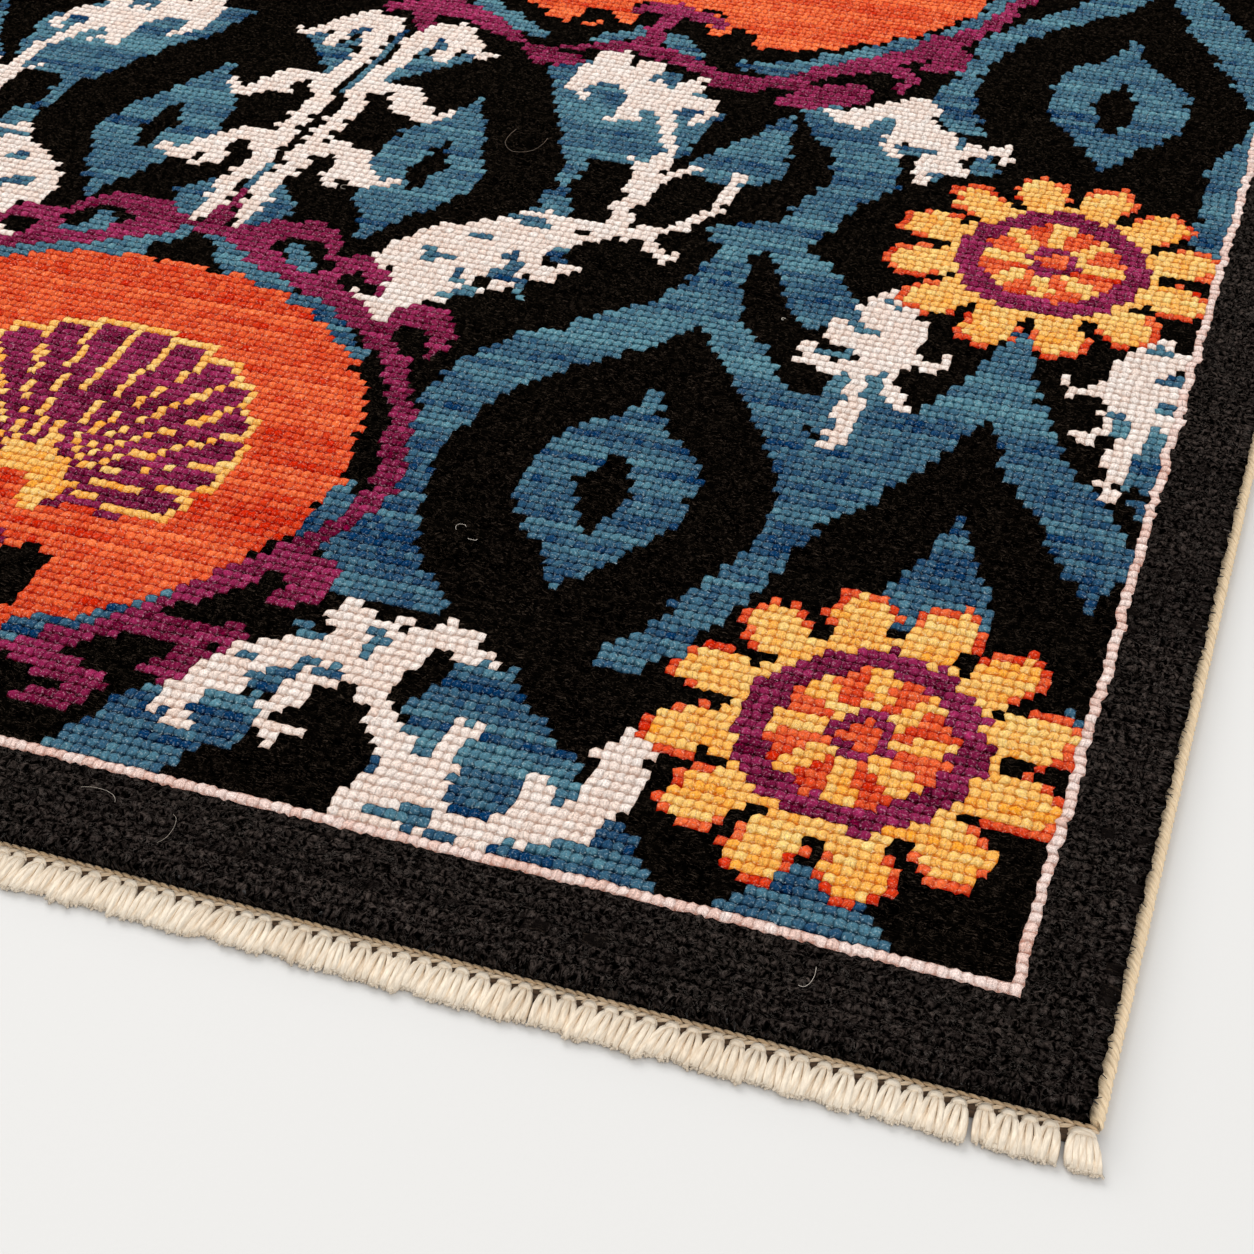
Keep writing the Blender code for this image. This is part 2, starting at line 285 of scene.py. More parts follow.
# Twin stems with curled leaves, one side
STEM_SIDE = (
    (S, IVORY, ((2.8, 85.5, 0.5), (2.5, 90, 1.4), (2.4, 100, 1.6), (2.5, 112, 1.5), (2.6, 128, 1.5),
                (3.4, 136, 2.4))),
    (S, IVORY, ((3.6, 117.6, 0.8), (5.6, 120, 1.5), (8.6, 119.6, 2.1), (11, 116.4, 1.9),
                (12.8, 113.8, 1.4), (15, 114.4, 0.9), (16.2, 116.4, 0.7))),
    (S, IVORY, ((9, 118.4, 1.5), (8.2, 115.6, 1.2), (9.6, 114.8, 0.6))),
    (S, IVORY, ((3.6, 102, 0.9), (5.6, 104.6, 1.5), (8.4, 103.6, 2.1), (10.6, 100.4, 2.3),
                (13, 98, 1.5), (15.4, 98.2, 0.9), (16.6, 99.6, 0.6))),
    (S, IVORY, ((9, 101.5, 1.9), (8.2, 97.8, 1.3), (9.6, 96.6, 0.6))),
    (S, IVORY, ((3.6, 130, 0.9), (6.4, 136, 2.6), (9.4, 134.4, 1.8), (11.4, 132, 1),
                (13.6, 130.4, 0.8), (14.8, 131.4, 0.4))),
    (S, IVORY, ((7, 137, 2), (7.6, 132, 1.8), (8.6, 128.6, 1.1))),
    (S, BLUE, ((5.6, 133.6, 0.6), (7, 131.6, 0.9))),
    (S, BLUE, ((4.6, 130.8, 0.6), (5.4, 129.4, 0.6))),
)
STEM_MIDDLE = (
    (S, BLUE, ((0, 134, 0.5), (0, 117, 0.6))),
    (S, BLUE, ((0, 100, 0.3), (0, 92, 0.6))),
    (S, PLUM, ((0, 92.6, 0.3), (0, 88, 1.1), (0, 84.4, 1.5))),
)
# The ripe fruit's halo, and the plum garland that grows around it
GARLAND = (
    (S, BLUE, ((0.5, 85, 1), (4, 81.6, 1.6), (9, 77.8, 2), (15, 74.6, 2), (22, 71.4, 2.2),
                (29, 66.8, 1.9))),
    (S, BLUE, ((37.6, 47.4, 1), (39.6, 43.5, 2.2), (38.6, 40, 1.6))),
    (S, BLUE, ((33, 33.5, 1.2), (29, 28.6, 2.2), (23, 24, 2.5), (15, 19.6, 2.4), (7, 16.4, 2.2),
                (0, 15, 2))),
    (S, PLUM, ((1.6, 84.6, 1.2), (5, 84, 2.4), (8, 85.6, 2.8), (12.6, 87, 2), (16, 85.6, 1.5),
                (17.8, 82.6, 0.6))),
    (S, PLUM, ((6, 83.6, 2.4), (9, 81, 2), (14, 78.4, 1.7), (20, 76.2, 1.8), (25.4, 73.4, 1.9),
                (30, 70.4, 1.6), (33.6, 67, 1.3),
               (37, 62.4, 1.1), (39, 58, 1.3), (41, 53.4, 1.5), (42.4, 48.6, 1.5), (41.8, 43, 1.3),
               (40.4, 39.6, 1))),
    (S, PLUM, ((19.6, 76.6, 1.6), (18.8, 79.6, 1.4), (20.4, 82, 1.9), (23.6, 81.4, 1.7), (26, 79, 1),
                (25.4, 77.4, 0.6))),
    (S, PLUM, ((30, 72, 1.6), (32, 75.6, 2), (34.6, 74.8, 2.2), (37, 72, 1.4), (37.3, 69.2, 0.7))),
    (S, BLUE, ((13, 83, 1.2), (13.4, 80.8, 1.4), (16, 79.4, 0.8))),
    (S, BLACK, ((15.6, 82, 0.8), (16.6, 80.6, 0.7))),
    (S, PLUM, ((40.4, 39.6, 1.2), (37.6, 36, 1.7), (35, 32.4, 1.7), (32.4, 28.6, 1.8),
                (29.4, 24.8, 1.7), (25, 21.6, 1.3), (20, 18.6, 1.2),
               (13, 15.6, 1.2), (6, 13, 1.2), (0, 11.8, 1.2))),
    (S, PLUM, ((39, 35.4, 1.6), (42, 34.6, 2.6), (43, 32.4, 2), (40, 30.8, 0.9))),
    (S, PLUM, ((31, 25, 1.8), (35.4, 24.4, 2.6), (38.4, 25.6, 1.6), (40, 22.8, 1), (36, 20.4, 2),
                (33.4, 19.4, 1))),
    (S, PLUM, ((21, 18.4, 1.3), (26, 17.4, 1.8), (29.6, 17, 1.4), (28.8, 14.4, 1.4), (25, 13.6, 1))),
    (S, BLACK, ((35.6, 39.6, 0.8), (33.4, 36.4, 1.2), (33.2, 33.8, 0.8))),
    (S, BLACK, ((31.4, 26.4, 0.6), (34, 28, 0.9))),
    (S, BLACK, ((30, 22, 0.6), (33, 21.7, 0.7))),
    (S, BLACK, ((22.4, 15.2, 1.1), (25.6, 15.6, 0.8))),
)
FRUIT_TOP = (
    (A, BLUE, ((76, -9.5, 9.5), (80, -6, 6), (85, -1, 1))),
    (A, BLACK, ((75.4, -7, 7), (78, -5, 5), (83.4, -0.5, 0.5))),
)
# The second garland, under the upper fruit
SWAG = (
    (S, BLUE, ((4, 148, 1.4), (12, 141.6, 2), (18, 138.8, 1.4))),
    (S, BLUE, ((48.6, 138.4, 1.3), (54, 138.6, 2.2), (61, 144, 2.2), (68, 149.6, 2.2), (74, 155, 1.6),
                (77.4, 162, 1.6), (78, 170, 1.4))),
    (S, BLUE, ((27, 139.4, 1.6), (30, 141.8, 1.6), (31.6, 144, 0.7))),
    (S, BLUE, ((36, 144, 0.7), (38, 141.6, 1.8), (41, 139.2, 1.6))),
    (S, PLUM, ((-5, 141, 1.8), (2, 142.6, 3), (9, 141, 2), (13, 138, 1.7), (16.6, 136.4, 0.8))),
    (S, PLUM, ((1, 143, 2), (0.6, 138.6, 1.8), (2.2, 136.4, 0.9))),
    (S, PLUM, ((18.4, 135.4, 1.2), (21.6, 133.2, 2.5), (25.4, 133.4, 1.7))),
    (S, PLUM, ((23.8, 136.6, 1), (28, 138, 1.6), (33.5, 139.6, 1.9), (39, 137.6, 1.6),
                (44, 135.8, 1.5), (48, 133.8, 2.4), (52, 134, 2),
               (55, 136, 1.5), (60, 140, 1.8), (66, 144.4, 2.2), (70.6, 149, 1.8), (74.6, 153.4, 1.6),
               (78.4, 159, 1.3), (80.4, 166, 1.4),
               (80.6, 176, 1.4))),
    (S, PLUM, ((54, 136, 1.4), (60, 133.4, 3.2), (64.4, 135, 3), (67, 138.6, 1), (70.4, 138.4, 1),
                (71.6, 141, 1), (68, 143.6, 1.8))),
    (S, PLUM, ((56, 130.8, 1), (61, 131.2, 1.3))),
    (S, PLUM, ((71.6, 152.4, 1.8), (74, 149.6, 3.2), (74.6, 146.6, 2.8), (73, 145, 1.4))),
    (S, BLACK, ((66.6, 138.2, 0.9), (69, 139, 1))),
    (S, BLACK, ((54.4, 133.4, 0.8), (56.6, 133.2, 0.8))),
)
FRUIT_FOOT = (
    (A, BLACK, ((137.6, 24, 44), (141, 21.6, 47.6), (144, 21.2, 48), (147, 20.6, 47.4),
                (148.4, 24, 44), (151.8, 29, 40))),
    (A, RED, ((143, 21.4, 22.8), (145.6, 27.4, 29), (147.4, 25.4, 29.6), (150.4, 20.6, 29.4))),
    (A, RED, ((144, 40.6, 41), (147, 39.4, 43), (150.4, 38.6, 46))),
    (S, BLUE, ((28.4, 140.8, 1.8), (31, 142.6, 1.4))),
    (S, BLUE, ((38.8, 140.8, 1.8), (36.4, 142.6, 1.4))),
    (S, PLUM, ((33.6, 139, 1.9), (33.6, 144, 1.4), (33.8, 148, 1.5), (34, 150.6, 2.4))),
    (S, PLUM, ((27.8, 149, 1.1), (31, 150.6, 1.6), (36, 150.6, 1.6), (41, 148, 1.4))),
)

ALMOND_MIDDLE = 54
ROSETTE_X = 98.8
ROSETTE_ROW = 1.09
ROSETTE_ROWS = (29.8, 105.0, 205.0)
FAR_FROM = 186              # above this row the field is the lower field turned end for end
FAR_TURN = 309.6
FLOWER_GROUND = (
    (38, 84, 118), (40, 84, 118), (45, 85, 118), (50, 85.5, 115), (55, 87.5, 112), (58, 90, 109.5),
    (62, 92.4, 107), (65, 94, 104), (70, 96.5, 101.5), (74.5, 98.6, 99.4),
)
FLOWER_FLAME = (
    (43, 95, 107), (47, 95.4, 106.6), (50, 96, 105.6), (53, 98, 103.4), (57, 99, 101.6), (60, 99.9, 100.5),
)


def draw(chart, x, r, group):
    for shape, colour, points in group:
        chart[shape(x, r, points)] = colour


def draw_almond(chart, x, r, shift_x, shift_r, tall):
    local_x = x - shift_x
    local_r = (r - shift_r - ALMOND_MIDDLE) / tall + ALMOND_MIDDLE
    chart[spans(local_x, local_r, ALMOND)] = BLACK
    chart[spans(local_x, local_r, LEAF)] = BLUE
    chart[spans(local_x, local_r, LEAF_EYE)] = BLACK


def draw_rosette(chart, x, r, middle_r):
    """A twelve-petalled flower with a plum ring and eight gold spokes."""
    across, up = x - ROSETTE_X, (r - middle_r) * ROSETTE_ROW
    reach, turn = np.hypot(across, up), np.arctan2(up, across)
    petal = np.zeros(x.shape, bool)
    outline = np.zeros(x.shape, bool)
    for number in range(12):
        angle = math.radians(15 + 30 * number)
        out = across * math.cos(angle) + up * math.sin(angle)
        side = -across * math.sin(angle) + up * math.cos(angle)
        outline |= (np.hypot((out - 15.8) / 4.0, side / 3.5) < 1) & (out > 13.9)
        petal |= np.hypot((out - 15.8) / 3.1, side / 2.75) < 1
        petal |= (np.abs(side) < 2.6) & (out > 8) & (out < 14.6)
    chart[outline] = RED
    chart[petal | (reach < 12.7)] = GOLD
    chart[reach < 11.4] = PLUM
    chart[reach < 8.3] = RED
    spoke = np.abs((turn * 8 / (2 * math.pi) + 0.5) % 1 - 0.5) * reach * 2 * math.pi / 8
    chart[(reach < 8.3) & (spoke < 0.78 + 0.05 * reach)] = GOLD
    chart[reach < 3.1] = PLUM
    chart[reach < 1.8] = RED


def draw_fan(chart, x, r, middle_x, middle_r):
    """Plum lobes with gold seams, spread like a hand above a gold boss."""
    across, up = np.rint(x) - middle_x, (r - middle_r) * ROW_IN_KNOTS
    reach = np.hypot(across, up)
    root_x, root_y = 1.0, -9.6
    from_x, from_y = across - root_x, up - root_y
    pitch, first = math.radians(15.2), math.radians(-24)
    body = np.zeros(x.shape, bool)
    rim = np.zeros(x.shape, bool)
    for number in range(16):
        angle = first + pitch * number
        lobe = np.hypot(across - 19.4 * math.cos(angle), up - 19.4 * math.sin(angle))
        body |= lobe < 2.35
        rim |= lobe < 3.45
    wedge = (reach < 19.5) & (up > -12.2)
    chart[rim & (up > -13.6) | wedge] = GOLD
    chart[(body | wedge) & (up > -12.2)] = PLUM
    for number in range(17):
        angle = first + pitch * (number - 0.5)
        step_x = 20.4 * math.cos(angle) - root_x
        step_y = 20.4 * math.sin(angle) - root_y
        along = np.clip((from_x * step_x + from_y * step_y) / (step_x**2 + step_y**2), 0, 1)
        gap = np.hypot(from_x - along * step_x, from_y - along * step_y)
        chart[(gap < 0.33 + 0.14 * along) & (up > -12.4)] = GOLD
    chart[(np.hypot(from_x, from_y) < 6.3) & (up > -13)] = GOLD
    chart[np.hypot(from_x, from_y + 1) < 2.6] = RED


def draw_fruit(chart, x, r, middle_x, middle_r, wide, tall):
    ragged = 0.6 * np.sin(x * 0.9) * np.cos(r * 0.7)
    tall = np.where(r < middle_r, tall * 0.93, tall)
    chart[np.hypot((x - middle_x) / wide, (r - middle_r) / tall) + ragged / wide < 1] = RED
    draw_fan(chart, x, r, middle_x + 4, middle_r)


def draw_side(chart, x, r):
    """One half of the lower field. The other half is the same with x turned over."""
    draw(chart, x, r, BANDS)
    draw_almond(chart, x, r, 0.0, 0.0, 1.0)
    chart[spans(x, r, FLOWER_GROUND)] = BLACK
    chart[spans(x, r, FLOWER_FLAME)] = BLUE
    draw_almond(chart, x, r, 34.8, 88.0, 1.09)
    draw(chart, x, r, GARLAND)
    draw(chart, x, r, CORAL_FRONT)
    draw(chart, x, r, CORAL_MIDDLE)
    draw(chart, 2 * ROSETTE_X - x, r, CORAL_MIDDLE)
    chart[spans(x, r, SMALL_LEAF)] = BLUE
    chart[spans(x, r, SMALL_EYE)] = BLACK
    draw(chart, x, r, CORAL_TALL)
    draw(chart, x, r, CORAL_HIGH)
    draw(chart, x, r, STEM_SIDE)


def draw_middle(chart, x, r):
    draw(chart, x, r, FRUIT_TOP)
    draw(chart, x, r, STEM_MIDDLE)
    draw_fruit(chart, x, r, 0.0, 46.4, 37.8, 30.6)
    draw(chart, x / 1.2 + 33.8, r + 117.6, FRUIT_FOOT)


def weave_chart():
    """The colour of every knot, row by row from the front end."""
    draws = np.random.default_rng(3)
    column = np.arange(KNOTS_ACROSS) - (KNOTS_ACROSS - 1) / 2
    row = np.arange(ROWS_LONG) + 0.5
    x, r = np.meshgrid(column, row)
    loose_x = x + draws.uniform(-0.45, 0.45, ROWS_LONG)[:, None]
    loose_r = r + draws.uniform(-0.35, 0.35, KNOTS_ACROSS)[None, :]
    near = np.full(x.shape, BLACK)
    far = np.full(x.shape, BLACK)
    for chart, rows in ((near, loose_r), (far, FAR_TURN - loose_r)):
        for side in (-1, 1):
            draw_side(chart, side * loose_x, rows)
        draw_middle(chart, loose_x, rows)
    chart = np.where(r > FAR_FROM, far, near)
    for local_x in (-loose_x - 30, loose_x):
        draw_fruit(chart, local_x, loose_r, 36.0, 172.0, 41.0, 33.0)
        draw(chart, local_x, loose_r, FRUIT_FOOT)
        draw(chart, local_x, loose_r, SWAG)
    for side in (1, -1):
        for middle_r in ROSETTE_ROWS:
            draw_rosette(chart, side * loose_x, loose_r, middle_r)
    from_side = KNOTS_ACROSS / 2 - np.abs(x)
    from_end = np.minimum(r, ROWS_LONG - r)
    inside = (from_side > BORDER_KNOTS) & (from_end > BORDER_ROWS)
    field = (from_side > BORDER_KNOTS + 1) & (from_end > BORDER_ROWS + 1)
    chart[~inside] = BORDER
    chart[inside & ~field] = PINK
    return chart


def linear(hex_colour):
    """A colour written as on a dye card, turned to the linear values that a shader takes."""
    channels = np.array([int(hex_colour[place:place + 2], 16) for place in (0, 2, 4)]) / 255
    return np.where(channels < 0.04045, channels / 12.92, ((channels + 0.055) / 1.055) ** 2.4)


# The deepest and palest shade of each dye lot
DYES = {
    BLACK: ("000000", "080604"),
    BLUE: ("04345e", "5f909f"),
    IVORY: ("f0d4c4", "fffaf6"),
    GOLD: ("ffa428", "ffe494"),
    RED: ("d22604", "ff7c44"),
    PLUM: ("5c0026", "aa2e62"),
    PINK: ("e6beb0", "fff0ea"),
    BORDER: ("0f0c0b", "2a2421"),
}
LOT_DRIFT = 0.32            # how much paler the dyes are at the far end
# How strongly the shade changes from row to row, and from knot to knot
ROW_SHADE = {BLACK: 0.3, BLUE: 0.84, IVORY: 0.2, GOLD: 0.3, RED: 0.72, PLUM: 0.55, PINK: 0.3, BORDER: 0.5}
KNOT_SHADE = {BLACK: 0.6, BLUE: 0.42, IVORY: 0.4, GOLD: 0.50, RED: 0.50, PLUM: 0.6, PINK: 0.6, BORDER: 0.3}


def dye_knots(chart):
    """A linear colour for every knot, with the streaks that run along the rows."""
    draws = np.random.default_rng(11)
    across = np.arange(KNOTS_ACROSS)
    streak = np.zeros(chart.shape)
    above = np.zeros(KNOTS_ACROSS)
    for row in range(ROWS_LONG):
        stops = np.sort(draws.uniform(-20, KNOTS_ACROSS + 20, 14))
        fresh = np.interp(across, stops, draws.uniform(0, 1, 14))
        fresh = 0.54 * fresh + 0.46 * draws.uniform(0, 1)
        above = fresh if row == 0 else 0.25 * above + 0.75 * fresh
        streak[row] = above
    streak = np.clip((streak - 0.5) * 1.8 + 0.42, 0, 1)
    speck = draws.uniform(0, 1, chart.shape)
    drift = LOT_DRIFT * (np.arange(ROWS_LONG)[:, None] / ROWS_LONG - 0.25)
    colours = np.zeros(chart.shape + (3,))
    for dye, (deep, pale) in DYES.items():
        row_part, knot_part = ROW_SHADE[dye], KNOT_SHADE[dye]
        plain = 0.44 * (1 - row_part)
        shade = np.clip(streak * row_part + plain + (speck - 0.5) * knot_part + drift, 0, 1)[..., None]
        colours[chart == dye] = (linear(deep) + (linear(pale) - linear(deep)) * shade)[chart == dye]
    return colours


# Taking up a fresh form and finishing a piece
def deselect_all():
    for item in bpy.context.view_layer.objects:
        item.select_set(False)


def name_piece(name):
    piece = bpy.context.view_layer.objects.active
    piece.name = name
    piece.data.name = name
    return piece


def points_of(mesh):
    flat = np.empty(len(mesh.vertices) * 3, np.float32)
    mesh.vertices.foreach_get("co", flat)
    return flat.reshape(-1, 3).astype(float)


def corners_of(mesh):
    corners = np.empty(len(mesh.loops), np.int32)
    mesh.loops.foreach_get("vertex_index", corners)
    return corners


def finish_piece(piece, material, smooth=True):
    piece.data.materials.clear()
    piece.data.materials.append(material)
    piece.data.polygons.foreach_set("use_smooth", [smooth] * len(piece.data.polygons))
    piece.data.update()
    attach(piece, "root")
    return piece


# The knotted pile: four faces a knot, high in the middle and low where it meets its neighbours
def pile_surface():
    """Place of every half knot, with one more line all round that folds down to the ground."""
    draws = np.random.default_rng(21)
    half_x = np.arange(2 * KNOTS_ACROSS + 3) - 1
    half_y = np.arange(2 * ROWS_LONG + 3) - 1
    hx, hy = np.meshgrid(half_x, half_y)
    x = -SIDE_X + hx * KNOT / 2
    y = FRONT_Y + hy * ROW / 2
    between_knots, between_rows = hx % 2 == 0, hy % 2 == 0
    dip = np.where(between_knots, SIDE_DIP, 0.0)
    dip = np.where(between_rows, ROW_DIP, dip)
    dip = np.where(between_rows & between_knots, CORNER_DIP, dip)
    z = KNOT_CROWN - dip + draws.uniform(-CLIP_UNEVEN, CLIP_UNEVEN, x.shape)
    z += 0.00012 * np.sin(x * 61 + 1.3) * np.sin(y * 47 + 0.4)

    from_edge = np.minimum(np.minimum(hx, 2 * KNOTS_ACROSS - hx), np.minimum(hy, 2 * ROWS_LONG - hy))
    free = np.clip(from_edge / 8, 0.15, 1)
    phase = draws.uniform(0, 2 * np.pi, (ROWS_LONG + 2, 3))
    reach = draws.uniform(0.3, 1, (ROWS_LONG + 2, 3))
    shift = draws.uniform(-1, 1, ROWS_LONG + 2)
    row_sway = shift[:, None] + sum(
        reach[:, k:k + 1] * np.sin(x[0] * wave + phase[:, k:k + 1]) for k, wave in enumerate((38, 95, 210))
    )
    upper = np.clip((half_y + 1) // 2, 0, ROWS_LONG + 1)
    lower = np.clip((half_y + 2) // 2, 0, ROWS_LONG + 1)
    x += ROW_SWAY * 0.5 * (row_sway[upper] + row_sway[lower]) / 1.6 * free
    y += 0.00030 * np.sin(x * 23) * np.sin(y * 9 + 2) * free
    x += draws.uniform(-KNOT_JITTER, KNOT_JITTER, x.shape) * free
    y += draws.uniform(-KNOT_JITTER, KNOT_JITTER, x.shape) * free

    bulge = RIM_LEAN + draws.uniform(-0.0005, 0.0006, x.shape)
    for rim, foot, side in ((hx == 0, hx < 0, -1), (hx == 2 * KNOTS_ACROSS, hx > 2 * KNOTS_ACROSS, 1)):
        x[rim] = side * SIDE_X + side * bulge[rim]
        x[foot] = side * (SIDE_X - 0.0002)
    for rim, foot, end, edge in ((hy == 0, hy < 0, -1, FRONT_Y),
                                 (hy == 2 * ROWS_LONG, hy > 2 * ROWS_LONG, 1, BACK_Y)):
        y[rim] = edge + end * bulge[rim]
        y[foot] = edge - end * 0.0001
    z[from_edge == 1] -= 0.00020
    z[from_edge == 0] = PILE_TOP - RIM_DIP - 0.9 * (bulge - RIM_LEAN)[from_edge == 0]
    z[from_edge < 0] = RIM_FOOT
    return x, y, z


def surface_normals(surface):
    """Normals of the whole pile, so that neighbouring bands meet without a line."""
    places = np.stack(surface, axis=2)
    across = np.gradient(places, axis=1)
    along = np.gradient(places, axis=0)
    normals = np.cross(across, along)
    return normals / np.linalg.norm(normals, axis=2, keepdims=True)


def paint_knots(mesh, face_columns, face_rows, knot_colours):
    colours = knot_colours[np.clip(face_rows, 0, ROWS_LONG - 1), np.clip(face_columns, 0, KNOTS_ACROSS - 1)]
    four = np.concatenate([colours, np.ones((len(colours), 1))], axis=1)
    sizes = np.empty(len(mesh.polygons), np.int32)
    mesh.polygons.foreach_get("loop_total", sizes)
    four = np.repeat(four, sizes, axis=0)
    layer = mesh.color_attributes.new("knot_colour", "FLOAT_COLOR", "CORNER")
    layer.data.foreach_set("color", four.astype(np.float32).ravel())


def pile_band(number, surface, normals, knot_colours):
    columns = 2 * KNOTS_ACROSS + 2
    first_line = 2 * ROWS_A_BAND * number + (0 if number == 0 else 1)
    last_line = 2 * ROWS_A_BAND * (number + 1) + (2 if number == PILE_BANDS - 1 else 1)
    lines = last_line - first_line
    deselect_all()
    bpy.ops.mesh.primitive_grid_add(x_subdivisions=columns, y_subdivisions=lines, size=1, location=(0, 0, 0))
    piece = name_piece("pile_band_%d" % (number + 1))
    mesh = piece.data
    spots = points_of(mesh)
    column = np.rint((spots[:, 0] + 0.5) * columns).astype(int)
    line = np.rint((spots[:, 1] + 0.5) * lines).astype(int) + first_line
    placed = np.stack([part[line, column] for part in surface], axis=1)
    mesh.vertices.foreach_set("co", placed.astype(np.float32).ravel())
    corners = corners_of(mesh)
    while mesh.uv_layers:
        mesh.uv_layers.remove(mesh.uv_layers[0])
    counted = mesh.uv_layers.new(name="knots")
    knot_places = np.stack([column[corners] - 1, line[corners] - 1], axis=1) / 2
    counted.data.foreach_set("uv", knot_places.astype(np.float32).ravel())
    face_columns = np.floor(knot_places[:, 0].reshape(-1, 4).mean(axis=1)).astype(int)
    face_rows = np.floor(knot_places[:, 1].reshape(-1, 4).mean(axis=1)).astype(int)
    paint_knots(mesh, face_columns, face_rows, knot_colours)
    mesh.polygons.foreach_set("use_smooth", [True] * len(mesh.polygons))
    mesh.update()
    mesh.normals_split_custom_set_from_vertices(normals[line, column])
    return piece


def woven_ground(knot_colours):
    """The closed cloth under the pile. Its underside shows the backs of the knots."""
    deselect_all()
    bpy.ops.mesh.primitive_grid_add(x_subdivisions=KNOTS_ACROSS, y_subdivisions=ROWS_LONG, size=1,
                                    location=(0, 0, 0))
    piece = name_piece("woven_ground")
    bpy.ops.transform.resize(value=(SIDE_X * 2 - 0.0008, BACK_Y - FRONT_Y - 0.0008, 1))
    bpy.ops.object.transform_apply(location=True, rotation=True, scale=True)
    bpy.ops.object.mode_set(mode="EDIT")
    bpy.ops.mesh.select_mode(type="EDGE")
    bpy.ops.mesh.select_all(action="DESELECT")
    bpy.ops.mesh.select_non_manifold()
    bpy.ops.mesh.extrude_region_move(TRANSFORM_OT_translate={"value": (0, 0, GROUND_TOP)})
    bpy.ops.mesh.edge_face_add()
    bpy.ops.mesh.select_all(action="SELECT")
    bpy.ops.mesh.normals_make_consistent(inside=False)
    bpy.ops.object.mode_set(mode="OBJECT")
    mesh = piece.data
    middles = np.empty(len(mesh.polygons) * 3, np.float32)
    mesh.polygons.foreach_get("center", middles)
    middles = middles.reshape(-1, 3)
    face_columns = np.floor((middles[:, 0] + SIDE_X) / KNOT).astype(int)
    face_rows = np.floor((middles[:, 1] - FRONT_Y) / ROW).astype(int)
    spots = points_of(mesh)[corners_of(mesh)]
    while mesh.uv_layers:
        mesh.uv_layers.remove(mesh.uv_layers[0])
    counted = mesh.uv_layers.new(name="knots")
    knot_places = np.stack([(spots[:, 0] + SIDE_X) / KNOT, (spots[:, 1] - FRONT_Y) / ROW], axis=1)
    counted.data.foreach_set("uv", knot_places.astype(np.float32).ravel())
    paint_knots(mesh, face_columns, face_rows, knot_colours)
    return piece


# Yarns and wraps, each modelled once and laid many times into one joined mesh
class Form:
    """Points, faces and a place on the yarn for every face corner: round it, and along it."""

    def __init__(self, mesh, round_about, along):
        self.points = points_of(mesh)
        self.corners = corners_of(mesh)
        self.sizes = np.empty(len(mesh.polygons), np.int32)
        mesh.polygons.foreach_get("loop_total", self.sizes)
        turn = round_about(self.points)[self.corners]
        ends = np.cumsum(self.sizes)
        first = turn[ends - self.sizes].repeat(self.sizes)
        turn = first + (turn - first + 0.5) % 1 - 0.5
        self.lay = np.stack([turn, along(self.points)[self.corners]], axis=1)


def yarn_form(sides, cuts):
    """A plain length of yarn: unit radius, running up z from 0 to 1."""
    deselect_all()
    bpy.ops.mesh.primitive_cylinder_add(vertices=sides, radius=1, depth=1, location=(0, 0, 0.5),
                                        end_fill_type="NGON")
    piece = name_piece("plain_yarn")
    bpy.ops.object.transform_apply(location=True, rotation=True, scale=True)
    bpy.ops.object.mode_set(mode="EDIT")
    bpy.ops.mesh.select_mode(type="EDGE")
    bpy.ops.mesh.select_all(action="DESELECT")
    bpy.ops.object.mode_set(mode="OBJECT")
    for edge in piece.data.edges:
        low, high = (piece.data.vertices[v].co.z for v in edge.vertices)
        edge.select = abs(low - high) > 0.5
    if cuts:
        bpy.ops.object.mode_set(mode="EDIT")
        bpy.ops.mesh.subdivide(number_cuts=cuts)
        bpy.ops.object.mode_set(mode="OBJECT")
    form = Form(piece.data, lambda p: np.arctan2(p[:, 1], p[:, 0]) / (2 * np.pi), lambda p: p[:, 2])
    bpy.data.objects.remove(piece, do_unlink=True)
    return form


def lay_yarn(form, path, radius, flat=1.0):
    """A yarn form bent along a path, with a radius for each of the path's points."""
    path = np.asarray(path, float)
    share = np.linspace(0, 1, len(path))
    ahead = np.gradient(path, axis=0)
    along = form.points[:, 2]
    middle = np.stack([np.interp(along, share, path[:, k]) for k in range(3)], axis=1)
    forward = np.stack([np.interp(along, share, ahead[:, k]) for k in range(3)], axis=1)
    forward /= np.linalg.norm(forward, axis=1, keepdims=True)
    side = np.cross(forward, np.array([0.0, 0.0, 1.0]))
    side /= np.maximum(np.linalg.norm(side, axis=1, keepdims=True), 1e-9)
    up = np.cross(side, forward)
    thick = np.interp(along, share, np.broadcast_to(radius, len(path)))[:, None]
    points = middle + thick * (side * form.points[:, :1] - up * flat * form.points[:, 1:2])
    length = np.linalg.norm(np.diff(path, axis=0), axis=1).sum()
    return points, form, length


